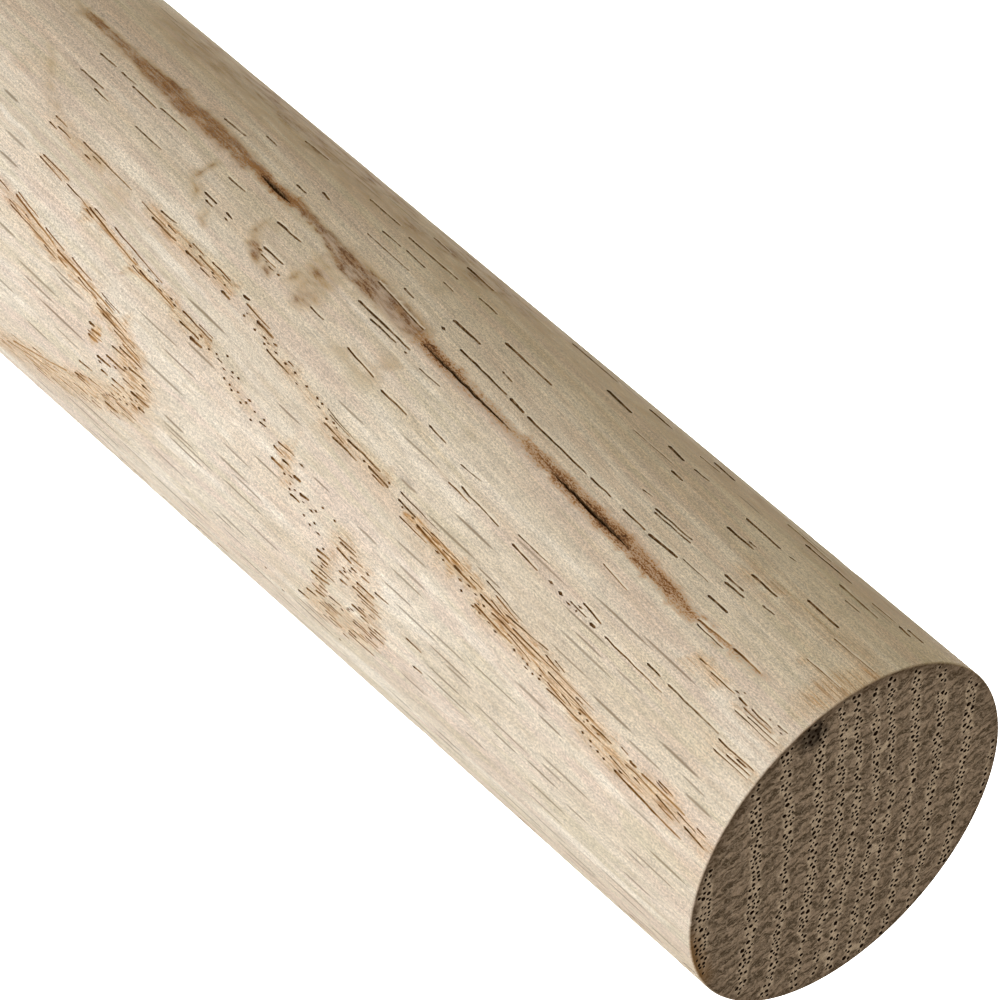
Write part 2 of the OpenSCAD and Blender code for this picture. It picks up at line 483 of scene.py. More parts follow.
# The vessels that stand out most: degrees around the rod, top and bottom depth, drift in degrees,
# half width, darkness, and how golden the wood beside them is.
bark_band_slits = [              # in the band nearest the bark, which leaves the wood low on this side
    (-60.4, 0.7, 3.4, -1.2, 0.06, 0.8, 0.4), (-61.7, 3.7, 6.9, -1.6, 0.05, 0.6, 0.4),
    (-64.5, 3.6, 8.9, -0.9, 0.08, 0.35, 0.9), (-63.6, 7.2, 10.6, -0.7, 0.06, 0.35, 0.8),
    (-65.6, 9.4, 10.4, -0.2, 0.08, 0.9, 0.6), (-57.8, 3.0, 11.3, -2.6, 0.085, 0.85, 0.8),
    (-66.1, 12.4, 14.9, -0.3, 0.05, 0.6, 0.5), (-67.6, 14.8, 20.8, -2.2, 0.05, 0.5, 0.6),
    (-64.4, 13.4, 20.2, -1.3, 0.05, 0.5, 0.6), (-70.1, 15.2, 25.6, -2.4, 0.04, 0.35, 0.5),
    (-70.5, 21.6, 28.0, -1.5, 0.06, 0.5, 0.6), (-72.7, 26.0, 29.8, -1.1, 0.07, 0.8, 0.7),
    (-74.4, 21.6, 26.8, 0.1, 0.04, 0.5, 0.3), (-68.9, 24.8, 29.8, -1.7, 0.08, 0.7, 0.9),
    (-75.8, 25.0, 30.0, -2.2, 0.035, 0.35, 0.2), (-74.2, 30.2, 33.3, -0.8, 0.08, 0.85, 0.7),
    (-75.1, 33.6, 38.3, -1.8, 0.09, 0.75, 1.0), (-74.7, 36.4, 40.1, -0.8, 0.05, 0.6, 0.9),
    (-77.4, 34.4, 36.8, -0.5, 0.05, 0.4, 0.8), (-78.2, 38.6, 41.1, -0.8, 0.05, 0.7, 0.2),
    (-79.7, 36.0, 41.3, -1.3, 0.035, 0.4, 0.1), (-79.7, 42.3, 45.2, -0.8, 0.06, 0.7, 0.3),
    (-81.6, 43.8, 48.3, -0.9, 0.06, 0.75, 0.4), (-79.4, 46.2, 49.6, -0.8, 0.06, 0.75, 0.4),
    (-83.6, 47.6, 51.6, -1.6, 0.03, 0.3, 0.1), (-85.4, 56.4, 59.8, -1.4, 0.05, 0.6, 0.3),
    (-90.3, 59.8, 62.3, -0.9, 0.08, 0.8, 0.5), (-90.5, 65.5, 66.9, -0.4, 0.07, 0.9, 0.4),
    (-93.9, 68.6, 70.9, -0.5, 0.06, 0.6, 0.5), (-92.6, 69.8, 72.2, -0.4, 0.07, 0.85, 0.5),
    (-93.3, 73.4, 77.0, -0.9, 0.07, 0.7, 0.5), (-96.2, 80.2, 87.4, -1.6, 0.05, 0.45, 0.4),
]
next_band_slits = [              # in the two bands outside it, which are cut slantwise and leave arches
    (-50.2, 38.8, 41.2, 0.0, 0.08, 0.85, 0.7), (-48.0, 38.6, 41.5, 0.0, 0.07, 0.8, 0.7),
    (-49.1, 41.9, 43.3, 0.0, 0.06, 0.6, 0.4), (-47.1, 41.8, 43.0, 0.2, 0.06, 0.6, 0.4),
    (-54.2, 42.1, 44.2, -0.6, 0.07, 0.75, 0.6), (-57.0, 41.8, 44.1, -0.2, 0.05, 0.7, 0.3),
    (-55.1, 39.9, 40.6, -0.2, 0.06, 0.6, 0.3), (-51.9, 37.2, 39.1, 0.0, 0.05, 0.5, 0.2),
    (-49.7, 44.3, 46.2, 0.0, 0.09, 0.95, 0.6), (-47.9, 44.4, 45.9, 0.0, 0.07, 0.85, 0.6),
    (-42.3, 43.8, 46.3, 0.9, 0.09, 0.9, 0.6), (-43.4, 44.2, 45.4, 0.0, 0.06, 0.7, 0.5),
    (-40.5, 36.6, 38.3, 0.0, 0.06, 0.7, 0.4), (-41.0, 38.7, 40.0, 0.0, 0.05, 0.6, 0.4),
    (-42.4, 39.2, 41.2, 0.0, 0.07, 0.65, 0.5), (-38.4, 36.8, 38.7, 0.0, 0.06, 0.75, 0.5),
    (-36.5, 38.3, 40.8, -0.3, 0.06, 0.8, 0.5), (-35.4, 37.4, 39.2, 0.2, 0.05, 0.6, 0.4),
    (-31.7, 40.2, 41.3, 0.0, 0.07, 0.55, 0.3), (-35.1, 42.0, 43.9, 0.0, 0.05, 0.6, 0.3),
    (-38.5, 42.2, 43.9, 0.3, 0.05, 0.7, 0.3), (-39.0, 43.9, 45.1, 0.0, 0.05, 0.6, 0.3),
    (-36.5, 44.2, 45.5, 0.6, 0.08, 0.9, 0.5), (-34.2, 45.2, 46.7, 0.6, 0.08, 0.85, 0.5),
    (-30.3, 46.2, 47.8, 0.6, 0.08, 0.9, 0.4), (-28.7, 42.6, 44.6, 0.0, 0.04, 0.5, 0.2),
    (-40.0, 32.1, 33.4, 0.0, 0.06, 0.7, 0.2), (-46.4, 32.6, 34.7, -0.4, 0.05, 0.6, 0.2),
    (-60.6, 48.4, 49.7, 0.0, 0.08, 0.95, 0.5), (-58.2, 49.2, 50.6, 0.0, 0.07, 0.85, 0.6),
    (-63.5, 49.9, 51.0, 0.0, 0.09, 0.95, 0.5), (-65.0, 51.7, 52.7, 0.0, 0.06, 0.85, 0.3),
    (-62.8, 52.0, 53.8, -0.4, 0.1, 0.9, 0.9), (-66.2, 52.7, 54.1, -0.3, 0.08, 0.85, 0.9),
    (-68.3, 51.6, 53.9, 0.0, 0.05, 0.6, 0.5), (-67.5, 50.2, 51.0, 0.0, 0.05, 0.5, 0.1),
    (-74.7, 64.9, 66.7, 0.1, 0.09, 0.95, 0.5), (-78.0, 64.4, 68.7, -1.2, 0.06, 0.75, 0.6),
    (-75.8, 65.6, 68.4, -0.6, 0.06, 0.85, 0.6), (-78.0, 69.4, 74.6, -1.9, 0.07, 0.65, 0.9),
    (-80.1, 75.0, 82.5, -4.2, 0.07, 0.6, 0.9), (-81.3, 71.8, 79.2, -3.3, 0.05, 0.5, 0.6),
    (-84.1, 82.8, 85.8, -1.1, 0.04, 0.35, 0.3), (-86.4, 85.7, 89.6, -0.8, 0.05, 0.5, 0.6),
    (-84.9, 86.2, 89.8, -1.2, 0.05, 0.5, 0.6),
    (-47.5, 67.6, 70.2, 0.0, 0.09, 0.95, 0.6), (-44.6, 68.0, 69.0, 0.1, 0.08, 0.8, 0.3),
    (-54.0, 68.8, 71.1, 0.0, 0.08, 0.85, 0.7), (-56.7, 69.4, 72.8, -0.6, 0.06, 0.6, 0.6),
    (-52.3, 67.8, 69.2, 0.0, 0.06, 0.7, 0.5), (-51.9, 71.2, 73.9, 0.1, 0.07, 0.8, 0.6),
    (-55.8, 71.6, 73.6, 0.0, 0.06, 0.8, 0.6), (-46.5, 70.8, 72.7, 0.0, 0.07, 0.6, 0.8),
    (-46.1, 73.0, 74.1, 0.0, 0.08, 0.85, 0.6), (-49.5, 72.9, 74.9, 0.2, 0.09, 0.9, 0.6),
    (-55.6, 74.9, 76.3, 0.3, 0.1, 0.7, 1.0), (-53.4, 75.0, 76.5, 0.0, 0.1, 0.75, 1.0),
    (-56.9, 75.9, 76.8, 0.0, 0.08, 0.8, 0.3), (-60.5, 71.0, 75.8, -1.6, 0.06, 0.55, 0.6),
    (-43.1, 74.9, 76.9, 0.2, 0.07, 0.7, 0.6), (-36.5, 71.2, 73.2, 0.0, 0.07, 0.6, 0.5),
    (-37.6, 75.8, 77.3, 0.2, 0.07, 0.65, 0.6), (-64.7, 74.6, 83.0, -3.4, 0.09, 0.5, 1.0),
    (-68.7, 83.4, 89.6, -3.9, 0.09, 0.55, 1.0), (-66.5, 82.8, 89.6, -2.6, 0.05, 0.4, 0.8),
    (-35.2, 78.2, 86.0, 8.4, 0.09, 0.3, 0.9), (-31.0, 79.5, 87.0, 7.0, 0.06, 0.3, 0.8),
]
shaded_slits = [                 # short ones where the bands run straight in, clean and not golden
    (-159.5, 10.8, 16.4, -0.5, 0.1, 0.9, 0.0), (-159.2, 2.6, 4.6, -0.4, 0.12, 0.8, 0.3),
    (-156.6, 3.4, 5.0, -0.8, 0.12, 0.8, 0.3), (-157.6, 5.3, 8.2, -0.3, 0.07, 0.6, 0.2),
    (-152.0, 6.0, 10.8, -1.2, 0.09, 0.5, 0.1), (-148.0, 7.0, 8.8, 0.0, 0.06, 0.6, 0.0),
    (-136.1, 6.0, 9.9, -0.8, 0.08, 0.9, 0.2), (-146.9, 15.8, 20.2, -1.0, 0.09, 0.95, 0.2),
    (-147.2, 14.0, 14.9, 0.4, 0.05, 0.6, 0.0), (-138.7, 16.5, 19.8, 0.1, 0.08, 0.85, 0.1),
    (-139.9, 16.6, 17.6, 0.0, 0.05, 0.7, 0.0), (-163.0, 14.0, 19.5, -1.4, 0.12, 0.35, 0.0),
    (-163.6, 25.5, 28.4, -1.8, 0.14, 0.8, 0.0), (-150.6, 25.2, 27.1, 0.3, 0.07, 0.8, 0.0),
    (-141.7, 25.8, 27.4, -0.4, 0.08, 0.85, 0.1), (-150.3, 28.1, 30.4, -1.2, 0.11, 1.0, 0.0),
    (-163.8, 33.0, 36.1, -1.0, 0.13, 0.75, 0.1), (-152.4, 35.0, 38.5, -1.6, 0.12, 1.0, 0.0),
    (-145.0, 28.0, 33.0, -0.6, 0.04, 0.4, 0.0), (-160.9, 26.5, 29.0, 0.4, 0.08, 0.45, 0.0),
    (-165.3, 40.0, 46.0, -1.4, 0.14, 0.6, 0.0), (-136.9, 40.1, 46.4, -1.5, 0.09, 0.8, 0.2),
    (-130.2, 11.2, 14.4, -0.3, 0.07, 0.8, 0.2), (-115.4, 12.3, 14.8, -0.5, 0.06, 0.85, 0.0),
    (-122.6, 12.6, 15.0, 0.2, 0.06, 0.85, 0.0), (-124.0, 13.2, 15.6, -0.4, 0.06, 0.75, 0.0),
    (-124.6, 9.8, 11.3, 0.1, 0.05, 0.55, 0.0), (-126.1, 19.8, 24.4, -0.2, 0.055, 0.75, 0.1),
    (-124.9, 19.6, 24.1, -0.2, 0.055, 0.7, 0.1), (-118.5, 19.1, 22.6, -0.1, 0.07, 0.95, 0.1),
    (-118.7, 22.9, 25.9, -0.4, 0.06, 0.85, 0.4), (-128.9, 25.4, 26.6, 0.2, 0.04, 0.5, 0.0),
    (-119.5, 27.3, 30.1, -0.6, 0.05, 0.7, 0.2), (-120.2, 30.4, 38.4, -1.9, 0.06, 0.95, 0.2),
    (-122.2, 38.7, 40.8, -0.9, 0.08, 1.0, 0.1), (-123.2, 41.1, 47.6, -1.8, 0.06, 0.95, 0.1),
    (-118.9, 15.6, 18.9, -0.5, 0.03, 0.5, 0.2), (-132.0, 0.7, 5.4, 0.2, 0.04, 0.5, 0.4),
    (-120.3, 1.0, 5.0, -0.4, 0.04, 0.45, 0.6), (-146.4, 49.8, 52.4, -0.5, 0.07, 0.55, 0.0),
    (-135.3, 57.4, 63.2, -0.9, 0.05, 0.45, 0.1), (-128.0, 42.0, 43.6, -0.6, 0.05, 0.5, 0.1),
    (-131.1, 47.0, 50.7, -0.6, 0.08, 0.9, 0.1), (-126.6, 49.9, 50.6, -0.2, 0.08, 1.0, 0.0),
    (-128.2, 54.4, 56.0, -0.7, 0.06, 0.65, 0.0), (-121.8, 51.0, 57.8, -2.9, 0.05, 0.7, 0.2),
    (-114.0, 50.0, 57.2, -1.5, 0.06, 0.85, 0.1), (-112.9, 51.4, 55.0, -0.5, 0.05, 0.75, 0.0),
    (-111.3, 45.4, 48.2, -0.2, 0.035, 0.4, 0.0), (-112.6, 49.9, 50.4, 0.0, 0.05, 0.8, 0.0),
    (-98.6, 45.4, 49.0, -0.7, 0.06, 0.85, 0.3), (-99.6, 40.9, 43.4, -1.0, 0.05, 0.7, 0.2),
    (-100.7, 50.2, 54.2, -1.6, 0.055, 0.75, 0.4), (-98.2, 36.0, 38.7, 0.2, 0.035, 0.4, 0.1),
    (-103.8, 57.6, 59.6, -0.6, 0.045, 0.7, 0.1), (-117.8, 65.2, 68.5, -0.1, 0.06, 0.85, 0.1),
    (-108.7, 64.4, 67.2, -0.3, 0.055, 0.8, 0.2), (-106.4, 64.6, 66.8, -0.5, 0.06, 0.6, 0.8),
    (-94.2, 64.0, 65.0, 0.0, 0.06, 0.9, 0.2), (-156.4, 53.2, 57.0, -1.4, 0.12, 0.8, 0.1),
    (-147.2, 55.0, 61.6, -0.6, 0.08, 0.6, 0.1), (-141.0, 53.6, 55.2, -0.6, 0.05, 0.6, 0.1),
    (-141.0, 57.2, 60.0, -0.8, 0.06, 0.6, 0.1), (-141.4, 60.4, 63.0, -0.2, 0.06, 0.55, 0.1),
    (-158.0, 59.2, 61.6, -1.0, 0.1, 0.5, 0.0), (-149.9, 63.2, 67.4, -0.6, 0.08, 0.55, 0.0),
    (-136.7, 68.1, 69.4, -0.8, 0.08, 0.9, 0.2), (-132.5, 69.7, 71.2, -0.3, 0.06, 0.7, 0.0),
    (-153.0, 73.4, 76.6, 0.2, 0.09, 0.5, 0.0), (-140.2, 76.2, 77.9, -0.8, 0.06, 0.5, 0.0),
    (-109.2, 71.2, 72.3, -0.5, 0.05, 0.75, 0.0), (-107.8, 71.3, 72.0, -0.4, 0.05, 0.6, 0.1),
    (-109.8, 73.4, 75.3, -0.3, 0.05, 0.75, 0.0), (-108.2, 73.4, 74.6, -0.3, 0.06, 0.8, 0.1),
    (-118.6, 72.8, 75.2, -0.3, 0.05, 0.55, 0.0), (-134.8, 78.4, 81.4, 0.1, 0.07, 0.5, 0.0),
    (-121.8, 81.6, 85.4, -0.2, 0.05, 0.6, 0.3), (-120.8, 85.4, 89.0, -0.7, 0.06, 0.75, 0.4),
    (-111.5, 81.4, 85.2, -0.2, 0.04, 0.5, 0.0), (-112.3, 88.8, 91.0, -0.2, 0.055, 0.65, 0.3),
    (-114.4, 90.2, 93.6, 0.0, 0.05, 0.55, 0.1), (-122.6, 88.8, 91.0, 0.0, 0.05, 0.5, 0.1),
    (-123.0, 91.6, 94.0, 0.1, 0.055, 0.55, 0.1), (-97.4, 74.6, 76.8, 0.2, 0.05, 0.6, 0.1),
    (-98.4, 2.0, 4.6, -0.4, 0.05, 0.7, 0.4), (-98.8, 4.9, 6.1, -0.2, 0.06, 0.8, 0.4),
    (-99.0, 6.4, 9.4, -0.5, 0.05, 0.7, 0.7), (-96.3, 0.7, 4.4, -0.4, 0.035, 0.45, 0.3),
    (-95.2, 0.7, 5.6, -0.5, 0.035, 0.4, 0.3), (-100.2, 0.7, 2.0, 0.0, 0.04, 0.5, 0.1),
    (-101.4, 19.6, 23.0, -1.6, 0.05, 0.3, 0.8), (-106.6, 10.0, 13.4, -0.6, 0.04, 0.75, 0.3),
    (-108.2, 6.2, 9.6, -0.5, 0.08, 0.85, 0.9), (-108.7, 9.9, 13.6, 0.3, 0.07, 0.7, 0.9),
    (-86.7, 0.7, 5.0, -0.2, 0.05, 0.55, 0.4), (-85.0, 0.7, 3.6, -0.1, 0.045, 0.5, 0.4),
    (-83.8, 0.7, 4.8, -0.2, 0.04, 0.4, 0.3), (-88.0, 5.1, 11.4, -1.2, 0.05, 0.5, 0.1),
    (-86.4, 11.2, 18.4, -1.2, 0.05, 0.6, 0.5), (-89.6, 12.2, 14.0, -0.2, 0.05, 0.7, 0.1),
    (-89.8, 19.2, 21.8, -1.2, 0.05, 0.75, 0.3), (-87.6, 18.4, 19.0, 0.0, 0.08, 0.95, 0.1),
    (-87.9, 19.4, 20.2, 0.0, 0.07, 0.9, 0.1), (-88.7, 23.5, 24.2, -0.2, 0.08, 0.95, 0.1),
    (-89.3, 24.8, 25.5, 0.0, 0.06, 0.85, 0.1), (-88.4, 20.6, 22.8, -0.6, 0.04, 0.55, 0.1),
    (-89.5, 26.7, 30.2, -0.9, 0.06, 0.65, 0.4), (-93.0, 26.4, 30.4, -0.5, 0.035, 0.4, 0.2),
    (-91.6, 32.0, 37.2, -1.7, 0.045, 0.6, 0.2), (-91.4, 35.4, 38.4, -0.5, 0.05, 0.45, 0.6),
]
mouths = [                       # vessels cut almost square across: degrees around the rod and depth
    (-60.6, 11.7), (-61.0, 12.5), (-61.4, 13.3), (-62.3, 14.3), (-62.9, 15.3), (-66.4, 15.4),
    (-66.5, 16.3),
    (-66.3, 21.1), (-67.3, 22.7), (-68.0, 24.4), (-74.3, 31.0), (-70.9, 31.4), (-80.8, 45.7), (-82.9, 51.0),
    (-85.4, 52.2), (-85.6, 52.9), (-86.2, 54.4), (-86.9, 56.1), (-88.8, 61.8), (-89.8, 63.5), (-87.5, 60.2),
    (-51.2, 45.4), (-45.8, 45.1), (-56.2, 47.1), (-54.7, 47.5), (-59.2, 50.7), (-62.0, 51.8), (-67.8, 57.2),
    (-70.6, 56.0), (-70.9, 58.4), (-69.8, 58.9), (-70.9, 60.3), (-74.8, 60.3), (-75.0, 61.1), (-72.0, 61.5),
    (-77.9, 62.4), (-55.8, 48.4), (-59.5, 47.4), (-61.9, 46.9), (-61.3, 45.3), (-81.3, 72.0), (-49.8, 74.9),
    (-42.4, 70.3), (-67.3, 50.5), (-26.4, 52.0), (-22.2, 50.0), (-23.6, 42.6),
]
dotted_rows = [                  # more of them, strung out in rows: first place, last place and how many
    ((-59.9, 9.6), (-61.2, 12.6), 6), ((-61.5, 12.9), (-62.9, 15.6), 5),
    ((-66.0, 13.4), (-66.5, 16.7), 7), ((-65.6, 19.0), (-67.9, 24.6), 10),
    ((-69.0, 26.2), (-70.8, 31.4), 10), ((-73.2, 28.4), (-74.9, 35.6), 12),
    ((-76.0, 35.8), (-77.8, 40.4), 8), ((-79.9, 42.0), (-82.2, 47.8), 9),
    ((-83.0, 49.0), (-86.9, 57.4), 9), ((-88.0, 58.4), (-90.6, 64.4), 9),
    ((-92.6, 66.4), (-93.6, 72.6), 8), ((-70.0, 55.6), (-71.8, 61.4), 8),
    ((-74.6, 60.6), (-76.6, 66.6), 8), ((-58.6, 49.0), (-66.4, 53.4), 9),
    ((-55.6, 46.4), (-60.6, 49.6), 5), ((-53.0, 41.4), (-46.4, 45.2), 8),
    ((-43.4, 39.4), (-36.6, 43.2), 8), ((-55.4, 70.2), (-47.0, 74.6), 10),
    ((-46.0, 69.2), (-39.0, 73.4), 8), ((-78.2, 69.2), (-81.4, 75.8), 10),
    ((-88.0, 18.4), (-89.4, 25.8), 7), ((-104.6, 64.2), (-108.0, 67.4), 4),
    ((-108.4, 71.0), (-110.0, 75.2), 5), ((-99.0, 1.6), (-99.8, 9.6), 3),
]
placed_from, placed_to, placed_deep = -176, -14, 99   # where every opened vessel is one of those above


class Laid:
    """The grooves laid so far, by the squares they lie in, so that no two cross."""

    def __init__(self):
        self.squares = {}
        self.grooves = []

    def width_at(self, groove, depth):
        """A groove's middle and half width at a depth."""
        for a, b in zip(groove, groove[1:]):
            if a[1] <= depth <= b[1]:
                t = (depth - a[1]) / max(1e-9, b[1] - a[1])
                return a[0] + (b[0] - a[0]) * t, a[2] + (b[2] - a[2]) * t
        return None

    def cells(self, groove):
        """The squares that a groove runs through."""
        for a, b in zip(groove, groove[1:]):
            for col in range(int(min(a[0], b[0]) - 0.5), int(max(a[0], b[0]) + 0.5) + 1):
                for row in range(int(a[1] / 4), int(b[1] / 4) + 1):
                    yield col, row

    def clear(self, groove, gap):
        """Whether a groove keeps this gap from all that is laid."""
        rivals = {number for cell in set(self.cells(groove)) for number in self.squares.get(cell, ())}
        for number in rivals:
            other = self.grooves[number]
            first, last = max(groove[0][1], other[0][1]), min(groove[-1][1], other[-1][1])
            if first - last > 0.25:
                continue
            levels = {first, last, (first + last) / 2}
            levels |= {s[1] for s in groove + other if first <= s[1] <= last}
            for depth in levels:
                mine = self.width_at(groove, min(max(depth, groove[0][1]), groove[-1][1]))
                its = self.width_at(other, min(max(depth, other[0][1]), other[-1][1]))
                if abs(mine[0] - its[0]) < mine[1] + its[1] + gap:
                    return False
        return True

    def lay(self, groove):
        self.grooves.append(groove)
        for cell in set(self.cells(groove)):
            self.squares.setdefault(cell, []).append(len(self.grooves) - 1)


laid = Laid()
kinds = []                       # for each one laid: how golden its lining is, how much of a ray, how strongly its lip is painted pale as a highlight


def try_to_lay(groove, gap, gold=0.0, ray=0.0, lip_highlight=0.0):
    if laid.clear(groove, gap):
        laid.lay(groove)
        kinds.append((gold, ray, lip_highlight))


for middle, degrees, length, width in cracks:
    try_to_lay(crack_groove(middle, degrees, length, width), 0.0)
for rows, lip_highlight in ((bark_band_slits, 0.2), (next_band_slits, 0.1), (shaded_slits, 0.75)):
    for *place, gold in rows:
        try_to_lay(slit(*place, gold), 0.02, gold, 0.0, lip_highlight)
mouth_long, mouth_half, mouth_shade, mouth_gold = 0.22, 0.053, 0.85, 0.6
for degrees, depth in mouths:
    opened = slit(degrees, depth - mouth_long, depth + mouth_long, 0.0, mouth_half, mouth_shade)
    try_to_lay(opened, 0.02, mouth_gold)

dot_scatter = 0.55               # degrees
dot_lengths, dot_halves, dot_darks = (0.12, 0.55, 0.2), (0.024, 0.055), (0.45, 0.9)
for (d0, z0), (d1, z1), count in dotted_rows:
    for i in range(2 * count):
        t = (i + grain.uniform(-0.7, 1.7)) / (2 * count)
        degrees, depth = d0 + (d1 - d0) * t + grain.gauss(0, dot_scatter), z0 + (z1 - z0) * t
        long, half = grain.triangular(*dot_lengths), grain.uniform(*dot_halves)
        opened = slit(degrees, depth - long, depth + long, 0.0, half, grain.uniform(*dot_darks))
        try_to_lay(opened, 0.02, mouth_gold)

# Between them lie many finer ones, mere golden-brown lines.
line_area = 0.55                 # square millimetres of bundle to each fine line
line_lengths, line_halves, line_darks = (0.9, 3.6), (0.03, 0.05), (0.2, 0.75)
for run, wide, gold, slant in golden_runs:
    for (d0, z0), (d1, z1) in zip(run, run[1:]):
        long = math.hypot(math.radians(d1 - d0) * rod_r, z1 - z0)
        for _ in range(round(long * 2 * wide / line_area)):
            t = grain.random()
            length = grain.uniform(*line_lengths)
            aside = math.degrees(grain.uniform(-1.1, 1.1) * wide / rod_r)
            degrees, top = d0 + (d1 - d0) * t + aside, z0 + (z1 - z0) * t - length / 2
            half, dark = grain.uniform(*line_halves), grain.uniform(*line_darks)
            if top > 0.6:
                fine_line = slit(degrees, top, top + length, slant * length, half, dark, gold)
                try_to_lay(fine_line, 0.04, min(1.0, gold + grain.uniform(0.1, 0.5)))


ray_sway, ray_drift = 0.04, 0.13


def ray_line(degrees, top, length, half):
    """The edge of a ray in the planed side: a straight grey-brown spindle, flush with the wood."""
    stations = []
    for share in (0.0, 0.22, 0.5, 0.78, 1.0):
        sway = ray_sway * noise.noise(Vector((degrees, top + length * share, 17.0)))
        swell = math.sin(math.pi * (0.12 + 0.76 * share))
        u = side_u(degrees - ray_drift * length * share) + sway
        stations.append((u, top + length * share, half * swell, 0.0, 0.0))
    return stations


ray_area = 9.5                   # square millimetres of the side to each ray, where it faces the bark
ray_lengths, ray_halves, ray_strengths = (2.2, 10.0, 4.5), (0.08, 0.14), (0.7, 1.0)
for _ in range(round(girth * rod_l / ray_area)):
    degrees, depth = grain.uniform(-262, 82), grain.uniform(0.6, rod_l - 10)
    length, half = grain.triangular(*ray_lengths), grain.uniform(*ray_halves)
    strength = grain.uniform(*ray_strengths)
    facing = abs(math.cos(math.radians(degrees) - bark_side))
    if facing > 0.5 and grain.random() < facing:
        try_to_lay(ray_line(degrees, depth, length, half), 0.12, 0.0, strength)


longest_open = 5.5
open_lengths, closed_lengths = (1.6, 6.5), (1.0, 12.0)
crowded_share = 0.1              # of these openings, this share is left out


def broken(start, stop):
    """A long opening isn't open all the way: it is cut into short lengths, with closed wood between."""
    while stop - start > longest_open:
        piece = grain.uniform(*open_lengths)
        yield start, min(stop, start + piece)
        start += piece + grain.uniform(*closed_lengths)
    if stop - start > 0.35:
        yield start, stop


for tube in vessels:
    for whole in opened_runs(tube):
        for start, stop in broken(*whole):
            groove = groove_of(tube, start, stop)
            us = [s[0] for s in groove]
            around = math.degrees(join_at + us[0] / rod_r)
            by_hand = placed_from < around < placed_to and start < placed_deep
            crowded = grain.random() < crowded_share
            inside = min(us) > 0.6 and max(us) < girth - 0.6 and max(us) - min(us) < 20
            if inside and not by_hand and not crowded:
                try_to_lay(groove, 0.04, grain.uniform(0.2, 0.8))


around_steps, row_step = 120, 3.3        # the plain grid of points on the side
streak_top, streak_bottom = 5.0, 114
streak_points, streak_step = 0.3, 1.1
gold_step, gold_rows = 0.8, (-1.7, -1.2, -0.7, -0.25, 0.25, 0.7, 1.2, 1.7)
smudged = ((-124, -92, 58.5, 99), (-137, -111, 0.6, 11))     # degrees from and to, depths from and to
smudge_rows, smudge_points = 0.62, 1.9


def side_grid():
    """Points that keep the side round, and closer ones where its stains have edges."""
    rows = round(rod_l / row_step)
    for row in range(1, rows):
        depth = rod_l * row / rows
        for i in range(1, around_steps):
            yield girth * (i + 0.5 * (row % 2 - 0.5)) / around_steps, depth
    depth = streak_top
    while depth < streak_bottom:
        middle = along_table(streak_path, depth)[0]
        for i in range(-6, 7):
            yield side_u(middle) + i * streak_points, depth
        depth += streak_step
    for run, wide, _, _ in golden_runs:
        for (d0, z0), (d1, z1) in zip(run, run[1:]):
            steps = max(1, round(math.hypot(math.radians(d1 - d0) * rod_r, z1 - z0) / gold_step))
            for i in range(steps):
                t = i / steps
                for aside in gold_rows:
                    yield side_u(d0 + (d1 - d0) * t) + aside * wide, z0 + (z1 - z0) * t + 0.4 * (aside > 0)
    for low, high, top, bottom in smudged:
        for row in range(round((bottom - top) / smudge_rows)):
            for i in range(round((high - low) / smudge_points)):
                yield side_u(low + smudge_points * i + 0.95 * (row % 2)), top + smudge_rows * row


def cut_flat(flat, rims):
    """Triangles over flat points. Each rim is a closed run of point numbers, and its inside stays open."""
    _, _, faces, came_from, _, holes = delaunay_2d_cdt(flat, [], rims, 0, 1e-6)
    origin = [came[0] if came else None for came in came_from]
    if None in origin:
        raise RuntimeError("two rims cross")
    return [tuple(origin[i] for i in face) for face, hole in zip(faces, holes) if not hole]


rim_steps = 240
flat = []
square_wide, square_tall = 0.2, 0.4      # mm: one plain point at most to each of these squares
taken = set()


def flat_point(u, depth):
    """A point of the side laid out flat, by its number."""
    flat.append(Vector((u, -depth)))
    return len(flat) - 1


def square_of(u, depth):
    """The small square that a place lies in."""
    return int(u / square_wide), int(depth / square_tall)


top_row = [flat_point(girth * i / rim_steps, edge_ease) for i in range(rim_steps + 1)]
bottom_row = [flat_point(girth * i / rim_steps, rod_l - edge_ease) for i in range(rim_steps + 1)]
join_rows = round(rod_l / row_step)
left_join = [flat_point(0, rod_l * i / join_rows) for i in range(1, join_rows)]
right_join = [flat_point(girth, rod_l * i / join_rows) for i in range(1, join_rows)]
rims, walls = [], []
lip_highlight_at, guards = {}, []        # how strongly a rim's points are painted pale as a highlight, and points that keep the lip narrow
lip_wide = 0.21
for groove, (gold, ray, lip_highlight) in zip(laid.grooves, kinds):
    left = [flat_point(u - half, depth) for u, depth, half, _, _ in groove[1:-1]]
    right = [flat_point(u + half, depth) for u, depth, half, _, _ in groove[1:-1]]
    head, foot = flat_point(groove[0][0], groove[0][1]), flat_point(groove[-1][0], groove[-1][1])
    rims.append([head] + left + [foot] + right[::-1])
    walls.append((groove, head, foot, left, right, gold, ray))
    # Painted highlight: the left rim, on the groove's side that faces the key lamp, is painted pale.
    if lip_highlight > 0:
        for number in left:
            lip_highlight_at[number] = lip_highlight
        guards += [(u - half - lip_wide, depth) for u, depth, half, _, _ in groove]
    for u, depth, half, _, _ in groove:
        first_col, first_row = square_of(u - half - 0.16, depth - 0.8)
        last_col, last_row = square_of(u + half + 0.16, depth + 0.8)
        for col in range(first_col, last_col + 1):
            for row in range(first_row, last_row + 1):
                taken.add((col, row))
for u, depth in guards:
    if laid.clear([(u, depth - 0.02, 0.01), (u, depth + 0.02, 0.01)], 0.06):
        flat_point(u, depth)
for u, depth in side_grid():
    inside = 0.3 < u < girth - 0.3 and 1.0 < depth < rod_l - 1.0
    if inside and square_of(u, depth) not in taken:
        taken.add(square_of(u, depth))
        flat_point(u, depth)

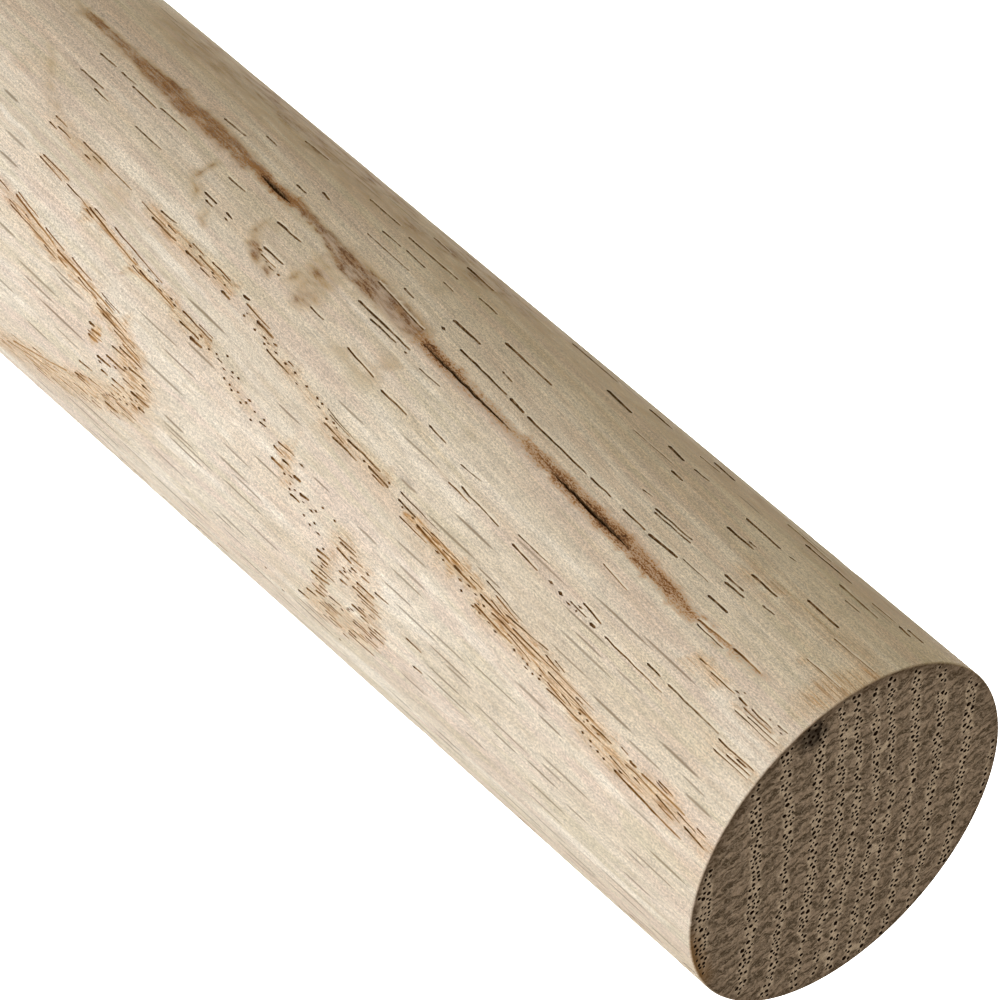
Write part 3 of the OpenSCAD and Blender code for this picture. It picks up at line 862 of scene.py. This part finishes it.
side_tris = cut_flat(flat, rims)
side_number = [None] * len(flat)
for i, place in enumerate(flat):
    if place.x < girth - 1e-6:
        side_number[i] = side_point(place.x, -place.y, 0.0, lip_highlight_at.get(i, 0.0))
side_number[top_row[-1]] = side_number[top_row[0]]
side_number[bottom_row[-1]] = side_number[bottom_row[0]]
for a, b in zip(left_join, right_join):
    side_number[b] = side_number[a]


def third_of(depth):
    """Which of the map's three lengths a depth lies in."""
    return min(2, max(0, int(depth / (rod_l / 3))))


unlined = ((0.0, 0.0, 0.0),) * 3   # three corners with no dark, golden or ray-coloured lining


def add_tri(corners, linings, normals, places):
    """A triangle of the mesh, with its lining, its normals and its places in the map."""
    tris.append(corners)
    tri_lining.append(linings)
    tri_normal.append(normals)
    tri_map.append(places)


def side_tri(numbers):
    """A triangle of the plain side, turned to face out."""
    a, b, c = (flat[i] for i in numbers)
    if (b - a).cross(c - a) < 0:
        numbers = numbers[::-1]
    at = [flat[i] for i in numbers]
    third = third_of(-sum(p.y for p in at) / 3)
    add_tri(
        tuple(side_number[i] for i in numbers),
        unlined,
        [side_normal(p.x) for p in at],
        [side_map(p.x, -p.y, third) for p in at],
    )


for numbers in side_tris:
    side_tri(numbers)


def wall_tri(corners, linings, places, flush=False):
    """A face inside a groove or a pit, facing out of it, or flush with the side."""
    a, b, c = (Vector(points[i]) for i in corners)
    across = (b - a).cross(c - a)
    normals = [tuple(across.normalized()) if across.length > 0 else (0.0, 0.0, 1.0)] * 3
    if flush:
        normals = [(p.x / p.xy.length, p.y / p.xy.length, 0.0) for p in (a, b, c)]
    add_tri(corners, linings, normals, places)


def wall_strip(upper, lower, upper_lining, lower_lining, upper_at, lower_at, third, flush):
    """Wall between a rim and a groove's bottom line, from the head down to the foot, on its left side."""
    for i in range(len(upper) - 1):
        quad = (upper[i], upper[i + 1], lower[i + 1], lower[i])
        linings = (upper_lining[i], upper_lining[i + 1], lower_lining[i + 1], lower_lining[i])
        at = (upper_at[i], upper_at[i + 1], lower_at[i + 1], lower_at[i])
        for pick in ((0, 1, 2), (0, 2, 3)):
            corners = tuple(quad[k] for k in pick)
            if len(set(corners)) == 3:
                places = [side_map(*at[k], third) for k in pick]
                wall_tri(corners, tuple(linings[k] for k in pick), places, flush)


left_rim, right_rim = 0.7, 0.95  # how dark a groove's two rims are, against its bottom line
rim_gold, rim_ray = 0.7, 0.45    # and how golden, and how much of a ray
for groove, head, foot, left, right, gold, ray in walls:
    third = third_of(groove[len(groove) // 2][1])
    line = [side_point(u, depth, sunk) for u, depth, _, sunk, _ in groove]
    line_at = [(s[0], s[1]) for s in groove]
    ends = (0, len(groove) - 1)
    bottom = [(s[4], gold, 0.0 if i in ends else ray) for i, s in enumerate(groove)]
    for side, hand, rim_dark in ((left, 1, left_rim), (right, -1, right_rim)):
        rim = [head] + side + [foot]
        rim_at = [(flat[i].x, -flat[i].y) for i in rim]
        upper = [side_number[i] for i in rim]
        rim_lining = [
            (dark * rim_dark, golden * rim_gold, flush_ray * rim_ray)
            for dark, golden, flush_ray in bottom]
        wall_strip(upper[::hand], line[::hand], rim_lining[::hand], bottom[::hand],
                   rim_at[::hand], line_at[::hand], third, ray > 0)


# ---- Its two sawn ends ----------------------------------------------------------------------
# A fine saw cut the rod square. The vessels stand open in the ends as small dark pits in rows, and
# the saw's sharp edge is eased. The upper end also shows the pin knot, with a few pits about it.
pit_deep = 0.36
pit_sides = 7
pit_share = 1.22                 # a pit's mouth is torn a little wider than the vessel's bore
torn_wider, widest_pit = 1.32, 0.2       # and wider again where there is room
knot_pits = [                    # sideways and up from the knot's middle, with each pit's radius
    (0.0, 0.1, 0.2), (0.42, 0.3, 0.14), (-0.38, 0.42, 0.12), (0.16, -0.48, 0.15), (-0.5, -0.2, 0.13),
    (0.72, -0.12, 0.13), (-0.2, 0.85, 0.12), (0.5, 0.78, 0.1), (-0.75, -0.8, 0.17), (-0.15, -1.0, 0.14),
    (0.55, -0.72, 0.11), (0.95, 0.35, 0.1), (-0.85, 0.2, 0.1),
]


def end_map(x, y, which):
    """An end's place in the piece's map: the two ends share its last quarter."""
    scale = 0.23 / (2 * rod_r)
    return 0.5 + 0.125 + which * 0.25 + x * scale, 0.5 + 0.25 + y * scale


pit_edge, pit_gap, pit_wall = 0.08, 1.085, 0.005


def pits_of(depth, extra):
    """The open vessels in one end, as (x, y, radius)."""
    squares = {}

    def room_at(x, y, r):
        """Whether a pit clears the rod's edge and every pit near it, other than one at its own place."""
        col, row = int(x // 1), int(y // 1)
        around = [squares.get((col + i, row + j), ()) for i in (-1, 0, 1) for j in (-1, 0, 1)]
        near = [pit for square in around for pit in square if pit[:2] != [x, y]]
        inside = math.hypot(x, y) < rod_r - edge_ease - r - pit_edge
        return inside and all(
            math.hypot(x - px, y - py) > (r + pr) * pit_gap + pit_wall for px, py, pr in near)

    for x, y, r in list(extra) + [(*tube_at(tube, depth), tube[2] * pit_share) for tube in vessels]:
        if room_at(x, y, r):
            squares.setdefault((int(x // 1), int(y // 1)), []).append([x, y, r])
    found = [pit for pits in squares.values() for pit in pits]
    for pit in found:
        wider = max(pit[2], min(pit[2] * torn_wider, widest_pit))
        if room_at(pit[0], pit[1], wider):
            pit[2] = wider
    return found


pit_slim, pit_reach = (0.78, 1.0), (0.76, 1.08)      # pits are a little flat and ragged
# The first of these says how pale each pit's rim is painted, as a highlight.
pit_rim_highlight, pit_depths, pit_darks = (0.5, 1.0), (0.7, 1.1), (0.8, 1.0)
pit_rim_dark = 0.85
end_square, end_pitch, knot_pitch = 0.1, 0.62, 0.27


def sawn_end(depth, which, outline, pits):
    """One end, 0 for the upper and 1 for the lower: a flat disc with every pit a steep dark cone."""
    facing = 1 if which == 0 else -1
    inner = rod_r - edge_ease
    angles = [join_at + 2 * math.pi * i / rim_steps for i in range(rim_steps)]
    flat_end = [Vector((inner * math.cos(angle), inner * math.sin(angle))) for angle in angles]
    number = list(outline)
    rims_end, cones, busy = [], [], set()

    def end_point(x, y, sunk=0.0, lip=0.0):
        """A point of the end or, sunk by some mm, of a pit."""
        stain_and_shade = end_stains(x, y) if which == 0 else (0.0, 0.0, 0.0)
        return add_point(x, y, depth + facing * sunk, stain_and_shade, 1.0, lip)

    def end_square_of(x, y):
        """The small square that a place on the end lies in."""
        return int(x // end_square), int(y // end_square)

    def plain_point(x, y, margin):
        """A point between the pits, if the place is free and this far inside the edge."""
        if math.hypot(x, y) < inner - margin and end_square_of(x, y) not in busy:
            flat_end.append(Vector((x, y)))
            number.append(end_point(x, y))

    for x, y, r in pits:
        turn, slim = grain.uniform(0, 2 * math.pi), grain.uniform(*pit_slim)
        rim = []
        for k in range(pit_sides):
            angle = 2 * math.pi * k / pit_sides
            reach = r * grain.uniform(*pit_reach)
            p, q = reach * math.cos(angle), reach * slim * math.sin(angle)
            o, a = p * math.cos(turn) - q * math.sin(turn), p * math.sin(turn) + q * math.cos(turn)
            rim.append(len(flat_end))
            place = Vector((x + o * bark_x - a * bark_y, y + o * bark_y + a * bark_x))
            flat_end.append(place)
            number.append(end_point(place.x, place.y, 0.0, grain.uniform(*pit_rim_highlight)))
        rims_end.append(rim)
        cones.append((x, y, r, rim))
        first_col, first_row = end_square_of(x - r - 0.14, y - r - 0.14)
        last_col, last_row = end_square_of(x + r + 0.14, y + r + 0.14)
        for col in range(first_col, last_col + 1):
            for row in range(first_row, last_row + 1):
                busy.add((col, row))
    steps = int(inner / end_pitch) + 1
    for i in range(-steps, steps + 1):
        for j in range(-steps, steps + 1):
            plain_point((i + 0.5 * (j % 2)) * end_pitch, j * end_pitch * 0.9, 0.35)
    if which == 0:
        for i in range(-7, 8):
            for j in range(-7, 8):
                plain_point(knot_x + i * knot_pitch + 0.1, knot_y + j * knot_pitch + 0.1, 0.2)
    normal = (0.0, 0.0, float(facing))
    for numbers in cut_flat(flat_end, rims_end):
        a, b, c = (flat_end[i] for i in numbers)
        if (b - a).cross(c - a) * facing < 0:
            numbers = numbers[::-1]
        add_tri(
            tuple(number[i] for i in numbers), unlined, [normal] * 3,
            [end_map(flat_end[i].x, flat_end[i].y, which) for i in numbers],
        )
    for x, y, r, rim in cones:
        tip = end_point(x, y, pit_deep * grain.uniform(*pit_depths))
        # Painted shade: each pit's cone is painted dark, darkest at its tip.
        dark = grain.uniform(*pit_darks)
        shades = ((dark * pit_rim_dark, 0.0, 0.0), (dark * pit_rim_dark, 0.0, 0.0), (dark, 0.0, 0.0))
        for k in range(pit_sides):
            pair = (rim[k], rim[(k + 1) % pit_sides])
            if facing < 0:
                pair = pair[::-1]
            places = [end_map(flat_end[i].x, flat_end[i].y, which) for i in pair] + [end_map(x, y, which)]
            wall_tri((number[pair[0]], number[pair[1]], tip), shades, places)


def eased_edge(row, depth_of, which):
    """The eased corner between the side and one end: it turns from one to the other in two steps."""
    facing = 1 if which == 0 else -1
    third = 0 if which == 0 else 2
    back = edge_ease * (1 - math.sqrt(0.5))
    angles = [join_at + 2 * math.pi * i / rim_steps for i in range(rim_steps)]
    middle, inner = [], []
    for angle in angles:
        degrees = math.degrees(angle)
        for ring, inset, sunk, on_end in ((middle, back, back, 0.4), (inner, edge_ease, 0.0, 1.0)):
            r = rod_r - inset
            depth = depth_of(sunk)
            x, y = r * math.cos(angle), r * math.sin(angle)
            stain_and_shade = (0.0, 0.0, 0.0)
            if which == 0:
                side, end = side_stains_and_shade(degrees, depth), end_stains(x, y)
                stain_and_shade = tuple(s + (e - s) * on_end for s, e in zip(side, end))
            ring.append(add_point(x, y, depth, stain_and_shade, on_end))
    outer = [side_number[i] for i in row[:-1]]
    rings = (outer, middle, inner)
    slopes = (0.0, math.sqrt(0.5), 1.0)
    for step in (0, 1):
        for i in range(rim_steps):
            j = (i + 1) % rim_steps
            quad = [(rings[step][i], i, step), (rings[step][j], i + 1, step),
                    (rings[step + 1][j], i + 1, step + 1), (rings[step + 1][i], i, step + 1)]
            if facing < 0:
                quad = quad[::-1]
            for pick in ((0, 1, 2), (0, 2, 3)):
                corners, normals, places = [], [], []
                for k in pick:
                    number, place, level = quad[k]
                    angle = join_at + 2 * math.pi * place / rim_steps
                    up = slopes[level]
                    out = math.sqrt(1 - up * up)
                    down = depth_of(edge_ease - level * 0.1)
                    corners.append(number)
                    normals.append((out * math.cos(angle), out * math.sin(angle), up * facing))
                    places.append(side_map(girth * place / rim_steps, down, third))
                add_tri(tuple(corners), unlined, normals, places)
    return inner


upper_outline = eased_edge(top_row, lambda sunk: sunk, 0)
sawn_end(0.0, 0, upper_outline, pits_of(0.0, [(knot_x + x, knot_y + y, r) for x, y, r in knot_pits]))
lower_outline = eased_edge(bottom_row, lambda sunk: rod_l - sunk, 1)
sawn_end(rod_l, 1, lower_outline, pits_of(rod_l, []))

mesh = bpy.data.meshes.new("oak_dowel")
mesh.from_pydata(points, [], tris)
mesh.shade_smooth()
for name, kind, domain, field, values in (
    ("wood", "FLOAT_VECTOR", "POINT", "vector", point_wood),
    ("stain_and_shade", "FLOAT_VECTOR", "POINT", "vector", point_stain_and_shade),
    ("sawn", "FLOAT", "POINT", "value", [(v,) for v in point_end]),
    ("lip", "FLOAT", "POINT", "value", [(v,) for v in point_lip]),
    ("lining", "FLOAT_VECTOR", "CORNER", "vector", [corner for three in tri_lining for corner in three]),
):
    layer = mesh.attributes.new(name, kind, domain)
    layer.data.foreach_set(field, [v for row in values for v in row])
bake_map = mesh.uv_layers.new(name="OFBake")
bake_map.uv.foreach_set("vector", [v for three in tri_map for place in three for v in place])
mesh.normals_split_custom_set([n for three in tri_normal for n in three])
oak_dowel = bpy.data.objects.new("oak_dowel", mesh)
bpy.context.scene.collection.objects.link(oak_dowel)
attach(oak_dowel, "root")
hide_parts("dowel_rod")


# ---- Its bare wood --------------------------------------------------------------------------
# Planed, unfinished red oak: cream late wood with pinkish and grey casts, warmer spring bands, grey
# rays, and brown lining in the open vessels, painted darker inside them as their shade. The sawn
# ends drink light and look far darker.
oak = bpy.data.materials.new("bare_oak")
oak.use_nodes = True
tree = oak.node_tree
tree.nodes.clear()


def put(kind, links=None, **settings):
    """A node with its settings and its inputs, each a value or another node's output."""
    node = tree.nodes.new(kind)
    for name, value in settings.items():
        setattr(node, name, value)
    for name, value in (links or {}).items():
        if isinstance(value, bpy.types.NodeSocket):
            tree.links.new(value, node.inputs[name])
        else:
            node.inputs[name].default_value = value
    return node


def carried(name):
    """What the mesh carries under this name."""
    return put("ShaderNodeAttribute", attribute_name=name).outputs


def parts_of(vector):
    """A vector's three numbers."""
    return put("ShaderNodeSeparateXYZ", {0: vector}).outputs


def maths(operation, a, b=0.0):
    """One sum with two numbers, or one number."""
    return put("ShaderNodeMath", {0: a, 1: b}, operation=operation).outputs[0]


def times(a, b):
    """One number times another."""
    return maths("MULTIPLY", a, b)


def plus(a, b):
    """Two numbers added."""
    return maths("ADD", a, b)


def less(a, b):
    """One number less another."""
    return maths("SUBTRACT", a, b)


def blended(share, base, top, how="MIX"):
    """One colour laid over another by a share from 0 to 1."""
    node = put("ShaderNodeMix", {0: share}, data_type="RGBA", blend_type=how, clamp_factor=True)
    for socket, value in ((node.inputs[6], base), (node.inputs[7], top)):
        if isinstance(value, bpy.types.NodeSocket):
            tree.links.new(value, socket)
        else:
            socket.default_value = (*value, 1.0)
    return node.outputs[2]


def step_up(value, low, high):
    """0 below low and 1 above high, smooth between."""
    links = {"Value": value, "From Min": low, "From Max": high}
    return put("ShaderNodeMapRange", links, interpolation_type="SMOOTHSTEP").outputs[0]


def between(value, low, high, at_low, at_high):
    """One range of numbers carried over to another, and held at its ends."""
    links = {"Value": value, "From Min": low, "From Max": high, "To Min": at_low, "To Max": at_high}
    return put("ShaderNodeMapRange", links).outputs[0]


def grey(value):
    """A grey whose darkness follows one value, to multiply a colour by."""
    return put("ShaderNodeCombineColor", {0: value, 1: value, 2: value}).outputs[0]


wood = carried("wood")["Vector"]
growth_here, ring_here, _ = parts_of(wood)
dark_stain, brown_stain_and_shade, gold_stain = parts_of(carried("stain_and_shade")["Vector"])
pore_shade, gilt, ray = parts_of(carried("lining")["Vector"])
sawn = carried("sawn")["Fac"]
lip = carried("lip")["Fac"]


def fibre_noise(across, along_ring, down, detail=2.0, rough=0.5, shift=0.0):
    """Noise in the tree's own directions: how fine it is outwards, along the ring and down, per mm."""
    scaled = {0: wood, 1: (across, along_ring, down)}
    at = put("ShaderNodeVectorMath", scaled, operation="MULTIPLY").outputs[0]
    if shift:
        at = put("ShaderNodeVectorMath", {0: at, 1: (shift, shift, shift)}, operation="ADD").outputs[0]
    links = {"Vector": at, "Scale": 1.0, "Detail": detail, "Roughness": rough}
    return put("ShaderNodeTexNoise", links).outputs["Fac"]


# The spring bands again, for the colour: the curve climbs by one for each band, and steeply in it.
growth_low, growth_high = -18.0, 32.0
growth_share = between(growth_here, growth_low, growth_high, 0.0, 1.0)
curve_node = put("ShaderNodeFloatCurve", {"Value": growth_share})
curve = curve_node.mapping.curves[0]
band_count = len(spring_bands)
band_reach = 0.75                # of a band's thickness, to each side of its middle
curve.points[0].location = (0.0, 0.0)
curve.points[1].location = (1.0, 1.0)
for i, (growth, thick) in enumerate(spring_bands):
    for hand, level in ((-1, 0.3), (1, 0.7)):
        at = (growth + hand * thick * band_reach - growth_low) / (growth_high - growth_low)
        curve.points.new(at, (i + level) / band_count)
for point in curve.points:
    point.handle_type = "VECTOR"
curve_node.mapping.update()
year = maths("FRACT", times(curve_node.outputs[0], float(band_count)))
from_band = maths("ABSOLUTE", less(year, 0.5))
ragged = times(less(fibre_noise(1.1, 1.1, 0.12, shift=7.0), 0.5), 0.3)
spring = step_up(plus(from_band, ragged), 0.27, 0.12)
patchy = step_up(fibre_noise(0.9, 0.9, 0.12, shift=53.0), 0.36, 0.6)


fine = fibre_noise(5.5, 5.5, 0.3, detail=3.0, rough=0.6)
sand = fibre_noise(12.0, 12.0, 5.0, detail=1.0, rough=0.5, shift=61.0)
thread = fibre_noise(2.3, 2.3, 0.05, detail=2.0, shift=11.0)
split = fibre_noise(7.0, 7.0, 0.22, detail=1.0, shift=41.0)
broad = fibre_noise(0.33, 0.33, 0.022, detail=2.0, shift=23.0)
cast = fibre_noise(0.55, 0.55, 0.05, detail=2.0, shift=31.0)
fleck = fibre_noise(0.8, 0.8, 0.035, detail=2.0, shift=71.0)
milk = fibre_noise(0.6, 0.6, 0.04, detail=2.0, shift=83.0)

# The planed wood: cream, with pinkish, yellow, milky and tan streaks along the fibres.
cream, pinkish = (0.745, 0.650, 0.515), (0.712, 0.582, 0.470)
yellowish, milky, tan = (0.670, 0.582, 0.425), (0.850, 0.765, 0.640), (0.600, 0.490, 0.355)
spring_tan, thread_tan = (0.690, 0.530, 0.385), (0.54, 0.42, 0.29)
golden, golden_brown = (0.680, 0.470, 0.265), (0.430, 0.225, 0.080)
plain, heart_and_shade_tint, bark_and_light_tint = (1.0, 1.0, 1.0), (0.95, 0.93, 0.85), (1.04, 1.06, 1.10)
ray_grey = (0.33, 0.272, 0.205)
side = blended(times(step_up(cast, 0.42, 0.62), 0.9), cream, pinkish)
side = blended(times(step_up(fleck, 0.5, 0.66), 0.75), side, yellowish)
side = blended(times(step_up(milk, 0.53, 0.68), 0.75), side, milky)
side = blended(times(step_up(broad, 0.5, 0.7), 0.45), side, tan)
side = blended(times(spring, between(patchy, 0.0, 1.0, 0.05, 0.35)), side, spring_tan)
side = blended(gold_stain, side, golden)
threads = times(step_up(split, 0.5, 0.62), times(gold_stain, 1.5))
side = blended(threads, side, golden_brown)
# Partly the heartwood's own warmer tone and partly painted light: the heart tint warms the rod's shaded
# side, and the bark tint cools its lit side.
heartwards = between(growth_here, -9.0, 6.0, 0.0, 1.0)
side = blended(1.0, side, blended(heartwards, heart_and_shade_tint, plain), "MULTIPLY")
barkwards = between(growth_here, 13.0, 20.0, 0.0, 1.0)
side = blended(1.0, side, blended(barkwards, plain, bark_and_light_tint), "MULTIPLY")
side = blended(1.0, side, grey(between(sand, 0.3, 0.7, 0.73, 1.26)), "MULTIPLY")
side = blended(1.0, side, grey(between(fine, 0.3, 0.7, 0.83, 1.15)), "MULTIPLY")
side = blended(times(step_up(thread, 0.58, 0.74), 0.35), side, thread_tan)
gritty = plus(times(fine, 0.8), times(sand, 1.2))
side = blended(times(ray, between(gritty, 0.7, 1.3, 0.7, 1.2)), side, ray_grey, "MULTIPLY")

# The brown smudges lie in clouds and sink into the strands between the fibres. Along the rod's
# shaded edge the same brown is painted shade.
light_brown, deep_brown, strand_brown = (0.50, 0.345, 0.170), (0.37, 0.215, 0.105), (0.17, 0.080, 0.033)
sandy = between(gritty, 0.80, 1.20, -1.0, 1.0)
clouds = between(fibre_noise(1.5, 1.5, 0.4, detail=2.0, shift=103.0), 0.36, 0.64, 0.5, 1.3)
strands = step_up(fibre_noise(4.5, 4.5, 0.75, detail=3.0, rough=0.6, shift=109.0), 0.44, 0.58)
brownish = times(times(brown_stain_and_shade, between(sandy, -1.0, 1.0, 0.6, 1.5)), clouds)
deep = step_up(brown_stain_and_shade, 0.35, 0.8)
side = blended(brownish, side, blended(deep, light_brown, deep_brown))
stranded = times(times(brownish, times(deep, 0.9)), strands)
side = blended(stranded, side, strand_brown)

# The streak goes from red-brown at its edges to nearly black at its heart.
red_brown, dark_brown, near_black = (0.43, 0.205, 0.062), (0.185, 0.076, 0.025), (0.055, 0.025, 0.011)
in_streak = step_up(dark_stain, 0.0, 0.25)
reddish = plus(times(dark_stain, 1.15), times(sandy, times(in_streak, 0.45)))
side = blended(reddish, side, red_brown)
dim = plus(dark_stain, times(sandy, 0.28))
side = blended(times(step_up(dim, 0.55, 0.96), 0.92), side, dark_brown)
side = blended(times(step_up(dim, 0.9, 1.2), 0.9), side, near_black)

# An opened vessel is lined with brown, golden where the wood about it is, and painted darker towards
# its bottom and mouth as its shade; one rim of its lip is painted pale as a highlight.
lining_gold = (0.48, 0.262, 0.088)
rim_brown, rim_golden = (0.27, 0.165, 0.080), (0.36, 0.180, 0.060)
bottom_shade_brown, bottom_shade_golden = (0.082, 0.042, 0.016), (0.165, 0.076, 0.024)
lip_highlight_colour = (0.88, 0.790, 0.640)
rough_line = between(sandy, -1.0, 1.0, 0.6, 1.35)
side = blended(times(gilt, rough_line), side, lining_gold)
dotted = between(fibre_noise(3.0, 3.0, 2.2, detail=1.0, shift=97.0), 0.35, 0.65, 0.6, 1.25)
pore_line = times(times(pore_shade, rough_line), dotted)
side = blended(step_up(pore_line, 0.0, 0.42), side, blended(gilt, rim_brown, rim_golden))
# Painted shade: the deepest part of each groove goes near black.
side = blended(step_up(pore_line, 0.32, 0.82), side, blended(gilt, bottom_shade_brown, bottom_shade_golden))
# Painted highlight: a pale line along one rim of each slit.
lip_highlight_mask = times(step_up(lip, 0.0, 0.75), step_up(pore_shade, 0.2, 0.02))
side = blended(times(lip_highlight_mask, 0.9), side, lip_highlight_colour)

# On the sawn ends the saw tore the fibres over, so that they lie in slanting ripples, with small
# hollows between the rows of vessels. The ripples' relief is painted into the colour as light and
# shade, pale on one slope and dark on the other, and the hollows are painted dark as shade.
slant_cos, slant_sin = -0.17, 0.985
wave = times(less(fibre_noise(0.75, 0.75, 0.1, shift=37.0), 0.5), 2.2)
across_ripple = plus(times(growth_here, slant_cos), plus(times(ring_here, slant_sin), wave))
along_ripple = less(times(ring_here, slant_cos), times(growth_here, slant_sin))


def torn_height(step, fine_across, fine_along):
    """Height of the torn fibres, read a step to one side."""
    at = put("ShaderNodeCombineXYZ", {
        0: plus(times(across_ripple, fine_across), step),
        1: times(along_ripple, fine_along)}).outputs[0]
    links = {"Vector": at, "Scale": 1.0, "Detail": 2.0, "Roughness": 0.5}
    return put("ShaderNodeTexNoise", links).outputs["Fac"]


ripple_fine, ripple_long, ripple_step = 1.3, 0.62, 0.24
ripple = torn_height(0.0, ripple_fine, ripple_long)
# Painted light and shade: the height here less the height a step to one side, so one slope of each ripple
# comes out pale and the other dark.
painted_ripple_light = less(ripple, torn_height(ripple_step, ripple_fine, ripple_long))
bent = times(less(fibre_noise(1.1, 1.1, 0.1, shift=29.0), 0.5), 1.6)
dimple_at = put("ShaderNodeCombineXYZ", {
    0: plus(times(across_ripple, 1.1), bent),
    1: plus(times(along_ripple, 0.7), bent)}).outputs[0]
dimple = put("ShaderNodeTexVoronoi", {"Vector": dimple_at, "Scale": 0.95}, voronoi_dimensions="2D")
sunken = put("ShaderNodeSeparateColor", {0: dimple.outputs["Color"]}).outputs[0]
between_bands = between(spring, 0.0, 0.7, 1.0, 0.15)
sunken = times(between(sunken, 0.1, 0.8, 0.1, 1.0), between_bands)
hollow = times(step_up(dimple.outputs["Distance"], 0.5, 0.2), sunken)
wisp = maths("ABSOLUTE", less(fibre_noise(1.9, 2.9, 0.1, detail=2.0, shift=5.0), 0.5))
grit = fibre_noise(4.5, 4.5, 0.3, detail=3.0, rough=0.75, shift=91.0)
# The first two colours are the painted shade and the painted highlight of the ripples' two slopes.
ripple_shaded_slope, ripple_lit_slope = (0.144, 0.104, 0.073), (0.530, 0.412, 0.346)
end_spring, hollow_shade = (0.37, 0.282, 0.230), (0.112, 0.079, 0.051)
pale_wisp, pit_rim_highlight_colour = (0.62, 0.505, 0.430), (0.86, 0.715, 0.610)
rust, damp_brown = (0.42, 0.22, 0.075), (0.105, 0.060, 0.030)
knot_black, pit_shade_black = (0.030, 0.017, 0.011), (0.028, 0.014, 0.007)
# Painted light and shade of the ripples' relief, laid on as colour.
end = blended(between(painted_ripple_light, -0.07, 0.07, 0.0, 1.0), ripple_shaded_slope, ripple_lit_slope)
end = blended(times(spring, 0.1), end, end_spring)
# Painted shade: the hollows between the rows of vessels are darkened in the colour.
end = blended(times(hollow, 0.6), end, hollow_shade)
end = blended(times(step_up(wisp, 0.035, 0.0), 0.7), end, pale_wisp)
# Painted highlight: the pits' rims are painted pale.
end = blended(times(step_up(lip, 0.4, 0.95), 0.95), end, pit_rim_highlight_colour)
end = blended(1.0, end, grey(between(grit, 0.3, 0.7, 0.58, 1.46)), "MULTIPLY")
end = blended(gold_stain, end, rust)
end = blended(brown_stain_and_shade, end, damp_brown)
end = blended(times(dark_stain, plus(0.5, ripple)), end, knot_black)
# Painted shade: the pits' insides are near black.
end = blended(step_up(pore_shade, 0.0, 0.5), end, pit_shade_black)

colour = blended(sawn, side, end)
grainy = plus(times(fine, 0.5), plus(times(sand, 0.7), thread))
rippled = plus(times(ripple, 4.5), less(grit, times(hollow, 1.2)))
bumpy = blended(sawn, grey(grainy), grey(rippled))
bump_height = 0.07 * MM
bump = put("ShaderNodeBump", {"Height": bumpy, "Strength": 0.5, "Distance": bump_height})
rough = plus(plus(0.56, times(fine, 0.16)), times(sawn, 0.2))
bare = put("ShaderNodeBsdfPrincipled", {"Base Color": colour, "Roughness": rough, "Normal": bump.outputs[0]})
dry_shine = 0.22                 # and none at all in the open vessels
tree.links.new(between(pore_shade, 0.1, 0.6, dry_shine, 0.0), bare.inputs["Specular IOR Level"])
put("ShaderNodeOutputMaterial", {"Surface": bare.outputs[0]})
mesh.materials.append(oak)


# ---- The studio -----------------------------------------------------------------------------
# A plain pale floor and soft light: one broad lamp low on the rod's bright side, so that the upper
# end stays in shade, a small one that lifts the floor to white, and an even pale surround.
floor_mesh = bpy.data.meshes.new("studio_floor")
floor_half = 4.0
floor_mesh.from_pydata([(-floor_half, -floor_half, 0), (floor_half, -floor_half, 0),
                        (floor_half, floor_half, 0), (-floor_half, floor_half, 0)], [], [(0, 1, 2, 3)])
floor = bpy.data.objects.new("studio_floor", floor_mesh)
bpy.context.scene.collection.objects.link(floor)
pale = bpy.data.materials.new("pale_floor")
pale.use_nodes = True
paint = pale.node_tree.nodes["Principled BSDF"]
paint.inputs["Base Color"].default_value = (0.93, 0.93, 0.93, 1)
paint.inputs["Roughness"].default_value = 0.9
floor_mesh.materials.append(pale)

world = bpy.data.worlds.new("surround")
world.use_nodes = True
sky = world.node_tree.nodes["Background"]
sky.inputs["Color"].default_value = (1.0, 0.885, 0.649, 1)
sky.inputs["Strength"].default_value = 0.352
bpy.context.scene.world = world


def lamp(name, place, aim, size, watts, tint=(1.0, 1.0, 1.0)):
    """A square soft lamp at a place, in metres, turned to what it lights."""
    light = bpy.data.lights.new(name, "AREA")
    light.size = size
    light.energy = watts
    light.color = tint
    holder = bpy.data.objects.new(name, light)
    holder.location = place
    holder.rotation_euler = (Vector(aim) - Vector(place)).to_track_quat("-Z", "Y").to_euler()
    bpy.context.scene.collection.objects.link(holder)


upper_end = Vector((0, 0, rod_l * MM))
key_side = math.radians(-55)
key_far, key_drop = 1.1, -0.09
key_place = upper_end + Vector((key_far * math.cos(key_side), key_far * math.sin(key_side), key_drop))
key_aim = upper_end - Vector((0, 0, 0.05))
lamp("key", key_place, key_aim, 0.8, 11.3, (0.895, 0.926, 1.0))
lamp("floor_lamp", (0.0, 0.47, 0.28), (0.0, 0.46, 0.0), 0.5, 4.5)

camera_data = bpy.data.cameras.new("camera")
camera_data.sensor_width = 36.0
camera_data.lens = 230.1
camera = bpy.data.objects.new("camera", camera_data)
camera_place = Vector((0.0, -0.43104, 0.53996))
camera_look = Vector((-0.0041975, 0.8394702, -0.5433895))
camera_up = Vector((-0.7572364, -0.3575772, -0.5465635))
camera_right = camera_look.cross(camera_up)
camera.matrix_world = Matrix([
    (camera_right[i], camera_up[i], -camera_look[i], camera_place[i]) for i in range(3)] + [(0, 0, 0, 1)])
bpy.context.scene.collection.objects.link(camera)
bpy.context.scene.camera = camera
bpy.context.scene.view_settings.view_transform = "Standard"
